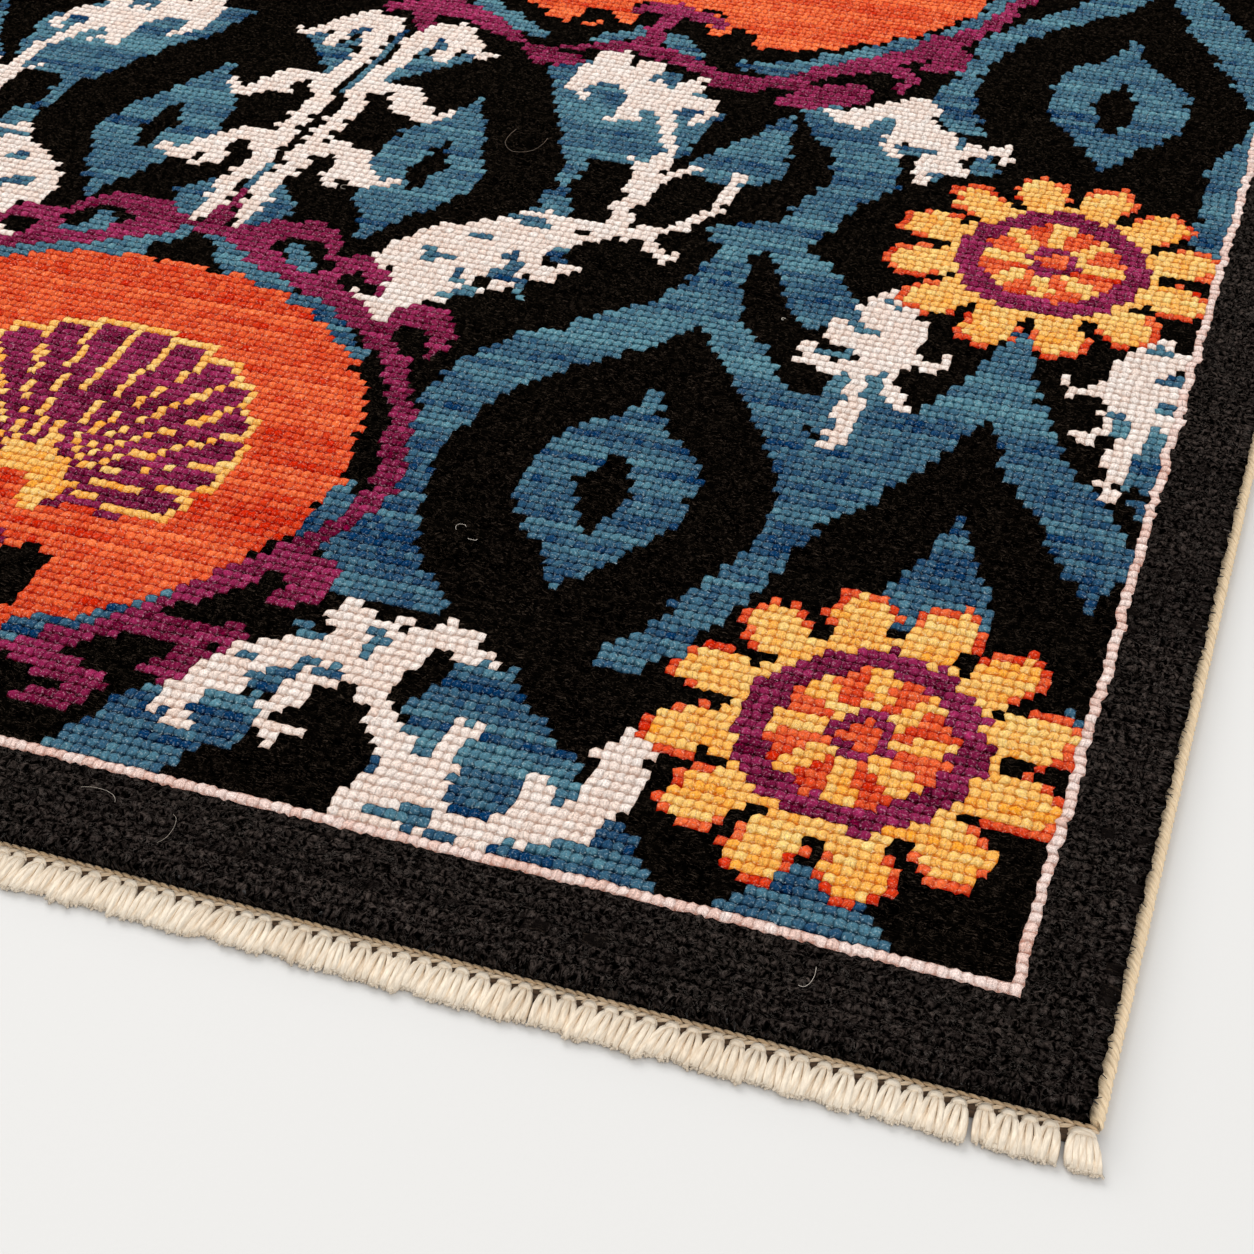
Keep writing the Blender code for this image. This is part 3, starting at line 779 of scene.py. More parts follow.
def join_laid(name, laid, tones):
    """One mesh from many laid forms, with a tone for each: 0 for pale yarn, 1 for tan."""
    points = np.concatenate([part[0] for part in laid])
    points[:, 2] = np.maximum(points[:, 2], 0.0)
    counts = np.array([len(part[0]) for part in laid])
    starts = np.cumsum(counts) - counts
    corners = np.concatenate([part[1].corners + start for part, start in zip(laid, starts)])
    sizes = np.concatenate([part[1].sizes for part in laid])
    lay = np.concatenate([part[1].lay * (1, part[2]) for part in laid])
    lay[:, 1] += np.repeat(np.arange(len(laid)) * 0.00731, [len(part[1].corners) for part in laid])
    mesh = bpy.data.meshes.new(name)
    mesh.vertices.add(len(points))
    mesh.vertices.foreach_set("co", points.astype(np.float32).ravel())
    mesh.loops.add(len(corners))
    mesh.loops.foreach_set("vertex_index", corners.astype(np.int32))
    mesh.polygons.add(len(sizes))
    mesh.polygons.foreach_set("loop_start", (np.cumsum(sizes) - sizes).astype(np.int32))
    mesh.update(calc_edges=True)
    layer = mesh.uv_layers.new(name="strand")
    layer.data.foreach_set("uv", lay.astype(np.float32).ravel())
    tone = mesh.attributes.new("tone", "FLOAT", "POINT")
    tone.data.foreach_set("value", np.repeat(tones, counts).astype(np.float32))
    piece = bpy.data.objects.new(name, mesh)
    bpy.context.scene.collection.objects.link(piece)
    return piece


WRAP_PITCH = 0.0017
WRAP_MIDDLE_X = 0.5 * (cord_low[0] + cord_high[0])
CORD_RADIUS = 0.5 * (cord_high[2] - cord_low[2])
WRAP_WIDE = 2.4             # how much wider than thick the flattened wrapping yarn is


def wrap_form():
    """One turn of overcast yarn round the side cord, lying a little aslant."""
    deselect_all()
    bpy.ops.mesh.primitive_torus_add(major_segments=8, minor_segments=5, location=(0, 0, 0),
                                     major_radius=CORD_RADIUS - 0.00045, minor_radius=0.00052)
    piece = name_piece("plain_wrap")
    bpy.ops.transform.resize(value=(1, 1, WRAP_WIDE))
    bpy.ops.object.transform_apply(location=True, rotation=True, scale=True)
    major = CORD_RADIUS - 0.00045
    form = Form(
        piece.data,
        lambda p: np.arctan2(p[:, 2] / WRAP_WIDE, np.hypot(p[:, 0], p[:, 1]) - major) / (2 * np.pi),
        lambda p: np.arctan2(p[:, 1], p[:, 0]) * major,
    )
    bpy.data.objects.remove(piece, do_unlink=True)
    return form


def overcast_cord(name, side, material):
    """The torus lies round z. Here its axis is turned to y, and each turn leans along the cord."""
    draws = np.random.default_rng(31 + side)
    form = wrap_form()
    long = cloth_high[1] - cloth_low[1]
    count = int(long / WRAP_PITCH) - 1
    laid = []
    for number in range(count):
        y = FRONT_Y + 0.0012 + (long - 0.0024) * (number + 0.5) / count
        x, up, along = form.points[:, 0], form.points[:, 1], form.points[:, 2]
        lean = -0.95 + draws.uniform(-0.12, 0.12)
        grow = 1 + draws.uniform(-0.05, 0.03)
        points = np.stack([
            side * (WRAP_MIDDLE_X + x * grow),
            y + along + lean * x + draws.uniform(-0.00012, 0.00012),
            CORD_RADIUS + up * grow,
        ], axis=1)
        laid.append((points, form, 1.0))
    core = yarn_form(8, 1)
    path = [(side * WRAP_MIDDLE_X, y, CORD_RADIUS) for y in (FRONT_Y + 0.0004, 0.0, BACK_Y - 0.0004)]
    laid.append(lay_yarn(core, path, CORD_RADIUS * 0.80))
    piece = join_laid(name, laid, np.linspace(0.35, 0.65, len(laid)))
    fix_outward(piece)
    finish_piece(piece, material)
    return piece


def fix_outward(piece):
    deselect_all()
    piece.select_set(True)
    bpy.context.view_layer.objects.active = piece
    bpy.ops.object.mode_set(mode="EDIT")
    bpy.ops.mesh.select_all(action="SELECT")
    bpy.ops.mesh.normals_make_consistent(inside=False)
    bpy.ops.object.mode_set(mode="OBJECT")


# Fringe. The numbers of the locks are those of the CAD solids.
RUG_HALF_WIDE = cord_high[0]
STRIP_FRONT = BACK_Y + 0.0033
INNER_LOCKS = 140
CORNER_ZONE = 0.0066
LOCK_OUT = 0.0078
LOCK_LEAN = 0.0007
LOCK_LENGTH_VARY = 0.0006
CORNER_LEAN = 0.0011
CORNER_LONGER = 0.0003
YARN_RADIUS = 0.00088
# Rows of slanting stitches along each end: place from the rug's middle, height, pitch,
# yarn radius, slant and tone. The row next to the pile has the darker tone, partly the twine's tan and partly painted
# shade under the pile's edge
TWINED_ROWS = (
    (BACK_Y + 0.00090, 0.00220, 0.00213, 0.00050, 0.00050, 0.95),
    (BACK_Y + 0.00190, 0.00215, 0.00213, 0.00050, -0.00055, 0.62),
)


def lock_places():
    """Middle, pitch, lean and length of every lock from left to right."""
    corner_x = RUG_HALF_WIDE - CORNER_ZONE / 2
    inner_long = 2 * (RUG_HALF_WIDE - CORNER_ZONE)
    pitch = inner_long / INNER_LOCKS
    places = [(-corner_x, CORNER_ZONE, -CORNER_LEAN, LOCK_OUT + CORNER_LONGER)]
    for index in range(INNER_LOCKS):
        sway = math.sin(index * 0.61) * 0.6 + math.sin(index * 0.23 + 1.7) * 0.4
        length = LOCK_OUT + LOCK_LENGTH_VARY * math.sin(index * 2.3) * math.cos(index * 0.37)
        places.append((-inner_long / 2 + pitch * (index + 0.5), pitch, LOCK_LEAN * sway, length))
    places.append((corner_x, CORNER_ZONE, CORNER_LEAN, LOCK_OUT + CORNER_LONGER))
    return places


def fringe_lock(place, draws, head, plain, tuft):
    """One hitched lock: a bent yarn as its head, and plump strands that fan out below it."""
    x, pitch, lean, length = place
    corner = pitch > 0.005
    back = STRIP_FRONT - 0.0007 + draws.uniform(-0.00025, 0.00015)
    neck = pitch * (0.28 if corner else 0.22)
    fan = pitch * (0.45 if corner else 0.43) * draws.uniform(0.86, 1.10)
    lean += draws.uniform(-0.0006, 0.0006)
    if not corner:
        x += draws.uniform(-0.00045, 0.00045)
    arch = [(x - neck * 1.25, back + 0.0007, 0.0010), (x - neck * 1.0, back + 0.0002, 0.0018),
            (x - neck * 0.5, back, 0.0022), (x + neck * 0.5, back, 0.0022),
            (x + neck * 1.0, back + 0.0002, 0.0018), (x + neck * 1.25, back + 0.0007, 0.0010)]
    laid = [lay_yarn(head, arch, 0.00072 * np.array([0.8, 1.05, 1.15, 1.15, 1.05, 0.8]))]
    above = 5 if corner else 3
    spreads = [(number / (above - 1) * 2 - 1, 1) for number in range(above)]
    spreads += [((number + 0.5) / (above - 1) * 2 - 1, 0) for number in range(above - 1)]
    share = np.array([0.0, 0.18, 0.45, 0.75, 1.0])
    for spread, on_top in spreads:
        wide = neck * 0.75 + (fan - neck * 0.75) * np.array([0.0, 0.60, 0.90, 1.0, 1.05])
        side = spread * wide + draws.uniform(-0.00035, 0.00035) * share
        crown = np.array([0.0016, 0.0018, 0.0016, 0.0012, 0.0009]) if on_top else np.full(5, 0.00078)
        out = (length - 0.0002) * share * (1 + draws.uniform(-0.09, 0.03))
        path = np.stack([x + lean * share + side, back + 0.0002 + out, crown], axis=1)
        stout = YARN_RADIUS * draws.uniform(0.88, 1.08) * np.array([0.78, 0.90, 1.05, 1.08, 0.86])
        laid.append(lay_yarn(plain, path, stout))
        for _each in range(3):
            swing = draws.uniform(-0.0008, 0.0008) + 0.0002 * spread
            start = path[-1] + (draws.uniform(-0.0003, 0.0003), -0.0006, draws.uniform(-0.0003, 0.0003))
            end = path[-1] + (swing, draws.uniform(0.0001, 0.0006), draws.uniform(-0.0006, 0.0005))
            laid.append(lay_yarn(tuft, [start, end], [0.00050, 0.00030]))
    return laid


def end_fringe(name, end, material):
    draws = np.random.default_rng(41 + end)
    head, plain, tuft, stitch = yarn_form(5, 7), yarn_form(5, 3), yarn_form(3, 0), yarn_form(4, 3)
    laid, tones = [], []
    for place in lock_places():
        lock = fringe_lock(place, draws, head, plain, tuft)
        laid += lock
        tones += [0.10 + draws.uniform(-0.10, 0.12)] * len(lock)
    half = RUG_HALF_WIDE - 0.0012
    for row_y, row_z, pitch, radius, slant, tone in TWINED_ROWS:
        count = int(2 * half / pitch)
        for number in range(count):
            x = -half + 2 * half * (number + 0.5) / count
            reach = pitch * 0.78
            rise = slant + draws.uniform(-0.00012, 0.00012)
            path = [(x - reach, row_y - rise, row_z - 0.0004), (x - reach * 0.5, row_y - rise * 0.5, row_z),
                    (x, row_y, row_z + 0.00012), (x + reach * 0.5, row_y + rise * 0.5, row_z),
                    (x + reach, row_y + rise, row_z - 0.0004)]
            laid.append(lay_yarn(stitch, path, radius * np.array([0.45, 0.9, 1.05, 0.9, 0.45])))
            tones.append(tone + draws.uniform(-0.10, 0.10))
    piece = join_laid(name, laid, np.array(tones))
    if end < 0:
        spots = points_of(piece.data) * (1, -1, 1)
        piece.data.vertices.foreach_set("co", spots.astype(np.float32).ravel())
    fix_outward(piece)
    finish_piece(piece, material)
    return piece


# A few hairs that have worked loose. One row for each: chart place, width and length of its curl
# in knots, share of a full turn, first direction in degrees, height above the pile, thickness, tone
LOOSE_HAIRS = (
    (53.0, 44.1, 0.52, 0.50, 0.6, 20, 0.0002, 0.00006, 0.2),
    (54.8, 43.0, 0.50, 0.25, 0.45, 200, 0.0002, 0.00006, 0.0),
    (28.5, 112.5, 2.6, 3.4, 0.62, 150, 0.0002, 0.00006, 0.9),
    (72.6, 85.2, 0.35, 0.2, 0.5, 80, 0.0004, 0.00010, 0.0),
    (102.0, 5.0, 0.7, 1.3, 0.4, 250, 0.0003, 0.00006, 0.3),
    (38.0, 4.5, 2.2, 1.2, 0.35, 10, 0.0003, 0.00006, 0.5),
    (45.5, 3.4, 1.0, 1.6, 0.4, 300, 0.0003, 0.00005, 0.6),
    (60.5, 31.0, 0.5, 0.3, 0.5, 140, 0.0002, 0.00006, 0.2),
    (12.0, 96.0, 0.8, 0.5, 0.6, 60, 0.0002, 0.00006, 0.4),
    (-60.0, 63.0, 0.9, 0.6, 0.7, 100, 0.0002, 0.00006, 0.2),
    (-31.0, 205.0, 1.6, 1.1, 0.5, 30, 0.0002, 0.00006, 0.4),
    (66.0, 226.0, 1.1, 0.8, 0.6, 310, 0.0002, 0.00006, 0.3),
)


def loose_hairs(material):
    form = yarn_form(3, 11)
    laid, tones = [], []
    for x, r, wide, long, share, start, above, radius, tone in LOOSE_HAIRS:
        turn = np.radians(start) + np.linspace(0, share * 2 * np.pi, 9)
        path = np.stack([x * KNOT + wide * KNOT * np.cos(turn), FRONT_Y + r * ROW + long * ROW * np.sin(turn),
                         PILE_TOP + above + 0.0001 * np.sin(turn * 3)], axis=1)
        laid.append(lay_yarn(form, path, radius))
        tones.append(tone)
    piece = join_laid("loose_hairs", laid, np.array(tones))
    fix_outward(piece)
    return finish_piece(piece, material)


# Dark yarns behind the fringe, a painted shade between the lock heads: how far out from the rug's end, height and
# radius
SHADE_YARNS = ((0.0023, 0.0009, 0.0009), (0.0036, 0.0007, 0.0007))


def rim_wool_and_shade_yarns(material):
    """Dark ends of the outermost knots, and dark yarns behind the locks that stand in for the shade between the lock
    heads.
    """
    draws = np.random.default_rng(57)
    form = yarn_form(3, 0)
    laid, tones = [], []
    rims = [(KNOTS_ACROSS, KNOT, (1, 0), end) for end in (FRONT_Y, BACK_Y)]
    rims += [(ROWS_LONG, ROW, (0, 1), side) for side in (-SIDE_X, SIDE_X)]
    for count, pitch, (run_x, run_y), rim in rims:
        outward = 1 if rim > 0 else -1
        for number in range(2 * count):
            run = (number / 2 + draws.uniform(0, 0.5) - count / 2) * pitch
            root = outward * draws.uniform(-0.0004, 0.0004) + rim
            tip = root + outward * draws.uniform(0.0006, 0.0021)
            slide = run + draws.uniform(-0.0012, 0.0012)
            start = (run * run_x + root * run_y, run * run_y + root * run_x, draws.uniform(0.0044, 0.0056))
            end = (slide * run_x + tip * run_y, slide * run_y + tip * run_x, draws.uniform(0.0040, 0.0056))
            laid.append(lay_yarn(form, [start, end], [draws.uniform(0.00020, 0.00045), 0.00008]))
            tones.append(draws.uniform(0.75, 1))
    shade_yarn_form = yarn_form(6, 7)
    # Painted shade: dark brown yarns where the gaps between lock heads are in shade
    for end in (-1, 1):
        for out, up, radius in SHADE_YARNS:
            half = RUG_HALF_WIDE - 0.0016
            path = [(run, end * (BACK_Y + out), up) for run in np.linspace(-half, half, 9)]
            laid.append(lay_yarn(shade_yarn_form, path, radius))
            tones.append(0.0)
    piece = join_laid("rim_wool_and_shade_yarns", laid, np.array(tones))
    fix_outward(piece)
    return finish_piece(piece, material)


# Shader helpers
def new_group(name, inputs, outputs):
    tree = bpy.data.node_groups.new(name, "ShaderNodeTree")
    for label, kind, value in inputs:
        socket = tree.interface.new_socket(label, in_out="INPUT", socket_type="NodeSocket" + kind)
        if value is not None:
            socket.default_value = value
    for label, kind in outputs:
        tree.interface.new_socket(label, in_out="OUTPUT", socket_type="NodeSocket" + kind)
    return tree, tree.nodes.new("NodeGroupInput").outputs, tree.nodes.new("NodeGroupOutput").inputs


def place_group(tree, group, **values):
    node = tree.nodes.new("ShaderNodeGroup")
    node.node_tree = group
    for label, value in values.items():
        feed(tree, node.inputs[label.replace("_", " ")], value)
    return node.outputs


def feed(tree, socket, value):
    if isinstance(value, bpy.types.NodeSocket):
        tree.links.new(value, socket)
    else:
        socket.default_value = value


def maths(tree, operation, *values, clamp=False):
    node = tree.nodes.new("ShaderNodeMath")
    node.operation = operation
    node.use_clamp = clamp
    for place, value in enumerate(values):
        feed(tree, node.inputs[place], value)
    return node.outputs[0]


def smooth_step(tree, value, low, high, from_value=0.0, to_value=1.0):
    node = tree.nodes.new("ShaderNodeMapRange")
    node.interpolation_type = "SMOOTHSTEP"
    for label, given in (("Value", value), ("From Min", low), ("From Max", high),
                         ("To Min", from_value), ("To Max", to_value)):
        feed(tree, node.inputs[label], given)
    return node.outputs[0]


def blend_colours(tree, blend_type, share, first, second):
    node = tree.nodes.new("ShaderNodeMix")
    node.data_type = "RGBA"
    node.blend_type = blend_type
    feed(tree, node.inputs[0], share)
    feed(tree, node.inputs[6], first)
    feed(tree, node.inputs[7], second)
    return node.outputs[2]


def split_vector(tree, vector):
    node = tree.nodes.new("ShaderNodeSeparateXYZ")
    feed(tree, node.inputs[0], vector)
    return node.outputs


def scaled(tree, vector, scale, shift=(0, 0, 0)):
    node = tree.nodes.new("ShaderNodeMapping")
    feed(tree, node.inputs["Vector"], vector)
    node.inputs["Scale"].default_value = scale
    node.inputs["Location"].default_value = shift
    return node.outputs[0]


def noise(tree, vector, scale, detail=2.0, roughness=0.5, distortion=0.0):
    node = tree.nodes.new("ShaderNodeTexNoise")
    feed(tree, node.inputs["Vector"], vector)
    node.inputs["Scale"].default_value = scale
    node.inputs["Detail"].default_value = detail
    node.inputs["Roughness"].default_value = roughness
    node.inputs["Distortion"].default_value = distortion
    return node.outputs["Fac"]


def own_map(tree, name):
    node = tree.nodes.new("ShaderNodeUVMap")
    node.uv_map = name
    return node.outputs[0]


def own_value(tree, name, output):
    node = tree.nodes.new("ShaderNodeAttribute")
    node.attribute_name = name
    return node.outputs[output]


def object_place(tree):
    return tree.nodes.new("ShaderNodeTexCoord").outputs["Object"]


def bump(tree, height, strength, distance):
    node = tree.nodes.new("ShaderNodeBump")
    node.inputs["Strength"].default_value = strength
    node.inputs["Distance"].default_value = distance
    feed(tree, node.inputs["Height"], height)
    return node.outputs[0]


def new_material(name, roughness, sheen=0.0, sheen_roughness=0.5, specular=0.2):
    material = bpy.data.materials.new(name)
    material.use_nodes = True
    shader = material.node_tree.nodes["Principled BSDF"]
    shader.inputs["Roughness"].default_value = roughness
    shader.inputs["Specular IOR Level"].default_value = specular
    shader.inputs["Sheen Weight"].default_value = sheen
    shader.inputs["Sheen Roughness"].default_value = sheen_roughness
    return material, material.node_tree, shader


# Shared effects
def knot_bead_group():
    """A rounded bead in every knot: how deep in a gap a point is, and how high on the bead."""
    tree, given, wanted = new_group(
        "knot bead",
        (("Knot Place", "Vector", None), ("Loose", "Float", 0.12)),
        (("Gap", "Float"), ("Height", "Float"), ("Split", "Float")),
    )
    loose = tree.nodes.new("ShaderNodeTexNoise")
    feed(tree, loose.inputs["Vector"], given["Knot Place"])
    loose.inputs["Scale"].default_value = 0.9
    loose.inputs["Detail"].default_value = 3.0
    away = tree.nodes.new("ShaderNodeVectorMath")
    away.operation = "SUBTRACT"
    feed(tree, away.inputs[0], loose.outputs["Color"])
    away.inputs[1].default_value = (0.5, 0.5, 0.5)
    push = tree.nodes.new("ShaderNodeVectorMath")
    push.operation = "SCALE"
    feed(tree, push.inputs[0], away.outputs[0])
    feed(tree, push.inputs["Scale"], given["Loose"])
    moved = tree.nodes.new("ShaderNodeVectorMath")
    moved.operation = "ADD"
    feed(tree, moved.inputs[0], given["Knot Place"])
    feed(tree, moved.inputs[1], push.outputs[0])
    across, along, _none = split_vector(tree, moved.outputs[0])
    out_x = maths(tree, "ABSOLUTE", maths(tree, "SUBTRACT", maths(tree, "FRACT", across), 0.5))
    out_y = maths(tree, "ABSOLUTE", maths(tree, "SUBTRACT", maths(tree, "FRACT", along), 0.5))
    power = 2.6
    round_x = maths(tree, "POWER", maths(tree, "MULTIPLY", out_x, 1.86), power)
    round_y = maths(tree, "POWER", maths(tree, "MULTIPLY", out_y, 2.12), power)
    reach = maths(tree, "POWER", maths(tree, "ADD", round_x, round_y), 1 / power)
    feed(tree, wanted["Gap"], smooth_step(tree, reach, 0.70, 1.14))
    feed(tree, wanted["Height"], smooth_step(tree, reach, 0.15, 1.10, 1.0, 0.0))
    whole = tree.nodes.new("ShaderNodeVectorMath")
    whole.operation = "FLOOR"
    feed(tree, whole.inputs[0], moved.outputs[0])
    chance = tree.nodes.new("ShaderNodeTexWhiteNoise")
    chance.noise_dimensions = "2D"
    feed(tree, chance.inputs["Vector"], whole.outputs[0])
    parted = smooth_step(tree, out_x, 0.0, 0.11, 1.0, 0.0)
    feed(tree, wanted["Split"], maths(tree, "MULTIPLY", parted, smooth_step(tree, chance.outputs[0], 0.45, 0.8)))
    return tree


def wool_fibre_group():
    """Fine fibre ends: a soft shade, and sparse bright curled hairs."""
    tree, given, wanted = new_group(
        "wool fibre",
        (("Place", "Vector", None),),
        (("Shade", "Float"), ("Hair", "Float"), ("Streak", "Float"), ("Glint", "Float"), ("Tuft", "Float")),
    )
    lengthwise = noise(tree, scaled(tree, given["Place"], (7.0, 3.2, 4.0)), 1.0, 3.0, 0.62)
    crosswise = noise(tree, scaled(tree, given["Place"], (3.0, 8.0, 4.0), (3.1, 7.7, 0.0)), 1.0, 2.0, 0.6)
    shade = maths(tree, "ADD", maths(tree, "MULTIPLY", lengthwise, 0.6), maths(tree, "MULTIPLY", crosswise, 0.4))
    feed(tree, wanted["Shade"], smooth_step(tree, shade, 0.34, 0.66))
    hair_noise = noise(tree, scaled(tree, given["Place"], (1.5, 2.6, 1.0), (11.0, 5.0, 0.0)), 1.0, 3.0, 0.6, 0.9)
    ridge = maths(tree, "ABSOLUTE", maths(tree, "SUBTRACT", hair_noise, 0.5))
    thin = smooth_step(tree, ridge, 0.0, 0.026, 1.0, 0.0)
    patch = smooth_step(tree, noise(tree, scaled(tree, given["Place"], (1, 1, 1), (2.0, 9.0, 0.0)), 1.3), 0.44, 0.60)
    feed(tree, wanted["Hair"], maths(tree, "MULTIPLY", thin, patch))
    laid_flat = noise(tree, scaled(tree, given["Place"], (1.7, 8.5, 1.0), (5.0, 3.0, 0.0)), 1.0, 2.0, 0.65, 0.8)
    feed(tree, wanted["Streak"], smooth_step(tree, laid_flat, 0.58, 0.72))
    # Glint: the small spots that get a painted highlight on the pile
    fine = noise(tree, scaled(tree, given["Place"], (3.6, 5.0, 1.0), (8.0, 1.0, 0.0)), 1.0, 3.0, 0.7)
    feed(tree, wanted["Glint"], smooth_step(tree, fine, 0.53, 0.68))
    # Tuft: the curled tufts of the plain border, painted lighter partly as highlight
    curls = noise(tree, scaled(tree, given["Place"], (2.4, 2.9, 1.0), (4.0, 6.0, 0.0)), 1.0, 3.0, 0.62, 0.8)
    feed(tree, wanted["Tuft"], smooth_step(tree, curls, 0.42, 0.74))
    return tree


def plied_yarn_group():
    """Plies that run aslant round a yarn, with finer fibres beside them."""
    tree, given, wanted = new_group(
        "plied yarn",
        (("Strand Place", "Vector", None), ("Ply Length", "Float", 0.0014),
         ("Plies", "Float", 2.0)),
        (("Crease", "Float"), ("Height", "Float"), ("Fibre", "Float")),
    )
    around, along, _none = split_vector(tree, given["Strand Place"])
    turns = maths(tree, "ADD", maths(tree, "MULTIPLY", around, given["Plies"]),
                  maths(tree, "DIVIDE", along, given["Ply Length"]))
    out = maths(tree, "ABSOLUTE", maths(tree, "SUBTRACT", maths(tree, "FRACT", turns), 0.5))
    feed(tree, wanted["Crease"], smooth_step(tree, out, 0.36, 0.5))
    feed(tree, wanted["Height"], smooth_step(tree, out, 0.0, 0.5, 1.0, 0.0))
    fine = noise(tree, scaled(tree, given["Strand Place"], (9.0, 420.0, 1.0)), 1.0, 3.0, 0.6)
    feed(tree, wanted["Fibre"], smooth_step(tree, fine, 0.32, 0.68))
    return tree


def pile_material(bead, fibre):
    material, tree, shader = new_material("dyed wool pile", 0.95, 0.0, 0.5, 0.0)
    places = own_map(tree, "knots")
    colour = own_value(tree, "knot_colour", "Color")
    knot = place_group(tree, bead, Knot_Place=places, Loose=0.26)
    hairs = place_group(tree, fibre, Place=places)
    lightness = tree.nodes.new("ShaderNodeRGBToBW")
    feed(tree, lightness.inputs[0], colour)
    dark = smooth_step(tree, lightness.outputs[0], 0.016, 0.030, 1.0, 0.0)
    light = maths(tree, "SUBTRACT", 1.0, dark)
    plain = smooth_step(tree, lightness.outputs[0], 0.0042, 0.0062)

    # Coloured knots: painted shade in the gaps between knots, darker and deeper in hue, a painted highlight on the
    # bead tops, and painted shade where a tuft parts
    gap_shade_tone = tree.nodes.new("ShaderNodeGamma")
    feed(tree, gap_shade_tone.inputs[0], colour)
    gap_shade_tone.inputs[1].default_value = 1.85
    deep = blend_colours(tree, "MULTIPLY", 1.0, gap_shade_tone.outputs[0], (0.72, 0.68, 0.66, 1))
    shaded = blend_colours(tree, "MIX", knot["Gap"], colour, deep)
    shaded = blend_colours(tree, "MULTIPLY", 1.0, shaded, grey_of(tree, hairs["Shade"], 0.66, 1.18))
    # Painted highlight: bead tops lighter, bead sides darker
    shaded = blend_colours(tree, "MULTIPLY", 1.0, shaded, grey_of(tree, knot["Height"], 0.88, 1.22))
    # Painted shade where a tuft parts
    shaded = blend_colours(tree, "MULTIPLY", 1.0, shaded, grey_of(tree, knot["Split"], 1.0, 0.74))
    # Painted highlights: small glints on the tufts, lightened towards a paler, warm-white copy of the dye
    glint_lift = tree.nodes.new("ShaderNodeGamma")
    feed(tree, glint_lift.inputs[0], colour)
    glint_lift.inputs[1].default_value = 0.52
    glint_colour = blend_colours(tree, "MIX", 0.20, glint_lift.outputs[0], (1.0, 0.94, 0.88, 1))
    shaded = blend_colours(tree, "MIX", maths(tree, "MULTIPLY", hairs["Glint"], 0.72), shaded, glint_colour)

    # Black field: near black with short brown fibres. Plain border: looser curled tufts, lighter and darker partly by
    # their fibres and partly by painted highlight and shade, with painted shade in the gaps between knots
    loose = maths(tree, "ADD", maths(tree, "MULTIPLY", hairs["Hair"], 0.40),
                  maths(tree, "MULTIPLY", hairs["Streak"], 0.60), clamp=True)
    field = blend_colours(tree, "MIX", maths(tree, "MULTIPLY", loose, 0.74), colour, (0.096, 0.068, 0.050, 1))
    # Curled tufts lighter and darker: partly paler fibres, partly painted highlight and shade
    border_tufts_shaded = blend_colours(tree, "MULTIPLY", 1.0, colour, grey_of(tree, hairs["Tuft"], 0.02, 5.2))
    # Painted shade in the gaps between the border's knots
    border_tufts_shaded = blend_colours(tree, "MULTIPLY", 1.0, border_tufts_shaded, grey_of(tree, knot["Gap"], 1.0, 0.25))
    border_tufts_shaded = blend_colours(tree, "MIX", maths(tree, "MULTIPLY", hairs["Hair"], 0.40), border_tufts_shaded, (0.165, 0.140, 0.125, 1))
    blacks = blend_colours(tree, "MIX", plain, field, border_tufts_shaded)
    feed(tree, shader.inputs["Base Color"], blend_colours(tree, "MIX", light, blacks, shaded))
    height = maths(tree, "ADD", maths(tree, "MULTIPLY", knot["Height"], 0.34),
                   maths(tree, "MULTIPLY", hairs["Shade"], 0.55))
    height = maths(tree, "ADD", height, maths(tree, "MULTIPLY", hairs["Tuft"], maths(tree, "MULTIPLY", dark, 0.4)))
    feed(tree, shader.inputs["Normal"], bump(tree, height, 0.70, 0.0009))
    feed(tree, shader.inputs["Roughness"], smooth_step(tree, hairs["Shade"], 0.0, 1.0, 0.98, 0.88))
    return material


def grey_of(tree, value, low, high):
    """A grey that goes from low to high as value goes from 0 to 1."""
    grey = maths(tree, "ADD", maths(tree, "MULTIPLY", value, high - low), low)
    node = tree.nodes.new("ShaderNodeCombineColor")
    for place in range(3):
        feed(tree, node.inputs[place], grey)
    return node.outputs[0]


def ground_material(bead, fibre):
    """The backs of the knots: small flat beads in ridged rows."""
    material, tree, shader = new_material("woven ground", 0.95, 0.1, 0.5, 0.12)
    places = own_map(tree, "knots")
    colour = own_value(tree, "knot_colour", "Color")
    knot = place_group(tree, bead, Knot_Place=scaled(tree, places, (2.0, 1.0, 1.0)), Loose=0.10)
    hairs = place_group(tree, fibre, Place=places)
    shaded = blend_colours(tree, "MULTIPLY", 1.0, colour, grey_of(tree, hairs["Shade"], 0.85, 1.10))
    thread = blend_colours(tree, "MIX", maths(tree, "MULTIPLY", knot["Gap"], 0.45), shaded, (0.50, 0.42, 0.31, 1))
    feed(tree, shader.inputs["Base Color"], thread)
    feed(tree, shader.inputs["Normal"], bump(tree, knot["Height"], 0.6, 0.0006))
    return material


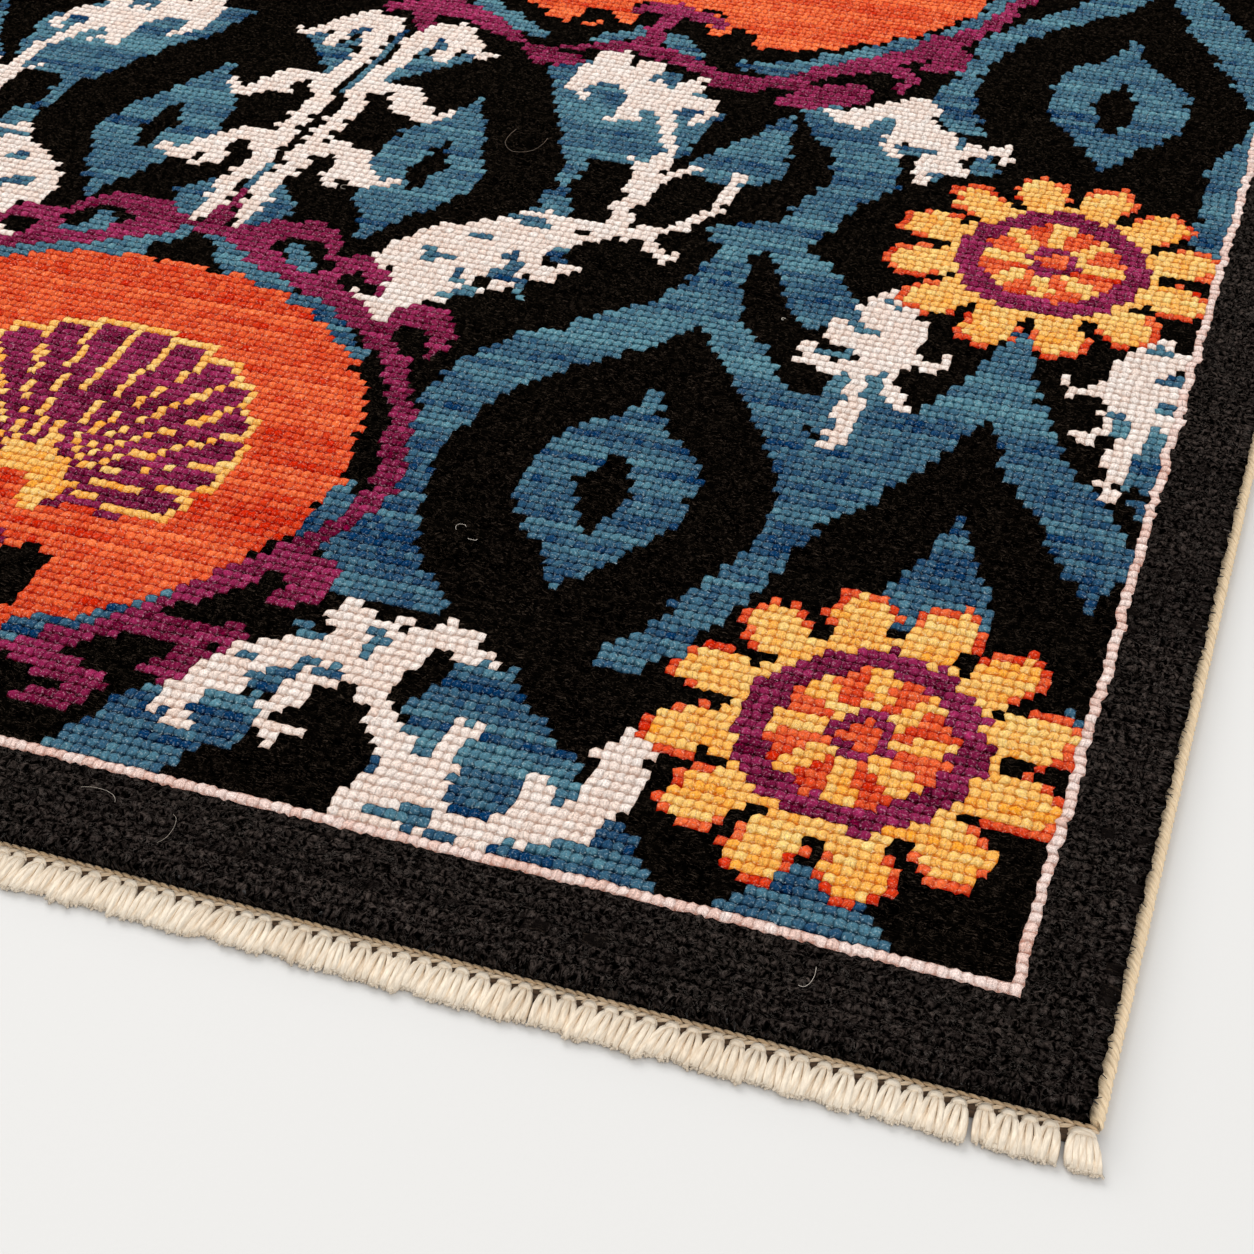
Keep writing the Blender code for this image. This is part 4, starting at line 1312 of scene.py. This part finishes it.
def yarn_material(name, plied, pale, tan, shade, ply_length, plies):
    material, tree, shader = new_material(name, 0.88, 0.12, 0.4, 0.18)
    yarn = place_group(tree, plied, Strand_Place=own_map(tree, "strand"), Ply_Length=ply_length, Plies=plies)
    colour = blend_colours(tree, "MIX", own_value(tree, "tone", "Fac"), (*linear(pale), 1), (*linear(tan), 1))
    colour = blend_colours(tree, "MULTIPLY", 1.0, colour, grey_of(tree, yarn["Fibre"], 0.84, 1.06))
    worn = noise(tree, object_place(tree), 240.0, 3.0, 0.6)
    colour = blend_colours(tree, "MULTIPLY", 1.0, colour, grey_of(tree, worn, 0.86, 1.12))
    # Painted shade in the creases between the plies, in the shade colour
    colour = blend_colours(tree, "MIX", maths(tree, "MULTIPLY", yarn["Crease"], 0.28), colour, (*linear(shade), 1))
    feed(tree, shader.inputs["Base Color"], colour)
    height = maths(tree, "ADD", maths(tree, "MULTIPLY", yarn["Height"], 0.6), maths(tree, "MULTIPLY", yarn["Fibre"], 0.3))
    feed(tree, shader.inputs["Normal"], bump(tree, height, 0.7, 0.0004))
    return material


def floor_material():
    material, tree, shader = new_material("pale floor", 0.75, 0.0, 0.5, 0.25)
    cloud = noise(tree, object_place(tree), 2.0, 3.0, 0.5)
    colour = blend_colours(tree, "MIX", cloud, (0.655, 0.652, 0.645, 1), (0.675, 0.672, 0.665, 1))
    feed(tree, shader.inputs["Base Color"], colour)
    grain = noise(tree, object_place(tree), 900.0, 2.0, 0.5)
    feed(tree, shader.inputs["Normal"], bump(tree, grain, 0.15, 0.0002))
    return material


# Making the rug
chart = weave_chart()
knot_colours = dye_knots(chart)
bead_effect = knot_bead_group()
fibre_effect = wool_fibre_group()
plied_effect = plied_yarn_group()
pile_wool = pile_material(bead_effect, fibre_effect)
ground_weave = ground_material(bead_effect, fibre_effect)
# Each yarn: pale tone, tan tone, and the colour of the painted shade in its ply creases
side_yarn = yarn_material("overcast side yarn", plied_effect, "fbe5c4", "edcfa5", "b08c5e", 0.0110, 2.0)
fringe_yarn = yarn_material("cotton fringe yarn", plied_effect, "f5e7d3", "d3b48e", "c29f74", 0.0085, 2.0)

hair_wool = yarn_material("loose wool hair", plied_effect, "fff4e6", "6e543f", "8a745c", 0.0085, 1.0)

# Pale tone: the dark brown of the yarns standing in for shade behind the locks. Tan tone: the near-black border wool
# of the rim tufts
border_and_shade_wool = yarn_material("loose border wool and shade yarn", plied_effect, "5e4a3a", "080605", "050404", 0.0085, 1.0)

surface = pile_surface()
normals = surface_normals(surface)
bands = []
for number in range(PILE_BANDS):
    band = pile_band(number, surface, normals, knot_colours)
    finish_piece(band, pile_wool)
    bands.append(band)
ground = woven_ground(knot_colours)
finish_piece(ground, ground_weave, smooth=False)
left_cord = overcast_cord("overcast_left", -1, side_yarn)
right_cord = overcast_cord("overcast_right", 1, side_yarn)
front_fringe = end_fringe("front_locks", -1, fringe_yarn)
back_fringe = end_fringe("back_locks", 1, fringe_yarn)
hairs = loose_hairs(hair_wool)
tufts = rim_wool_and_shade_yarns(border_and_shade_wool)

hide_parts("knotted_cloth")
for band in bands:
    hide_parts("knotted_cloth")
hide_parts("side_cord_left")
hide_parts("side_cord_right")
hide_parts("fringe_front")
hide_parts("fringe_back")

# Floor
deselect_all()
bpy.ops.mesh.primitive_plane_add(size=8, location=(0, 0, 0))
floor = name_piece("floor")
floor.data.materials.append(floor_material())


# Light and camera
def area_light(name, place, aim, size, power, colour):
    data = bpy.data.lights.new(name, "AREA")
    data.shape = "DISK"
    data.size = size
    data.energy = power
    data.color = colour
    lamp = bpy.data.objects.new(name, data)
    bpy.context.scene.collection.objects.link(lamp)
    lamp.location = place
    lamp.rotation_euler = (Vector(aim) - Vector(place)).to_track_quat("-Z", "Y").to_euler()


area_light("window_light", (-1.5, 1.7, 1.7), (0.1, -0.2, 0), 2.3, 75, (1.0, 0.985, 0.965))
area_light("fill_light", (1.2, -1.6, 1.9), (0.1, -0.2, 0), 2.4, 17, (1.0, 0.99, 0.975))
world = bpy.data.worlds.new("studio")
world.use_nodes = True
world.node_tree.nodes["Background"].inputs["Color"].default_value = (1.0, 0.995, 0.985, 1)
world.node_tree.nodes["Background"].inputs["Strength"].default_value = 0.77
bpy.context.scene.world = world
bpy.context.scene.view_settings.view_transform = "Standard"

CAMERA_PLACE = Vector((0.3108, -0.6899, 0.3307))
CAMERA_AIM = Vector((-0.2560, 0.7393, -0.6228))
SENSOR = 36.0
FOCAL_PIXELS = 2286
PHOTO_PIXELS = 1254
camera_data = bpy.data.cameras.new("photo_camera")
camera_data.sensor_width = SENSOR
camera_data.lens = SENSOR * FOCAL_PIXELS / PHOTO_PIXELS
camera_data.clip_start = 0.01
camera = bpy.data.objects.new("photo_camera", camera_data)
bpy.context.scene.collection.objects.link(camera)
camera.location = CAMERA_PLACE
camera.rotation_euler = CAMERA_AIM.to_track_quat("-Z", "Y").to_euler()
bpy.context.scene.camera = camera
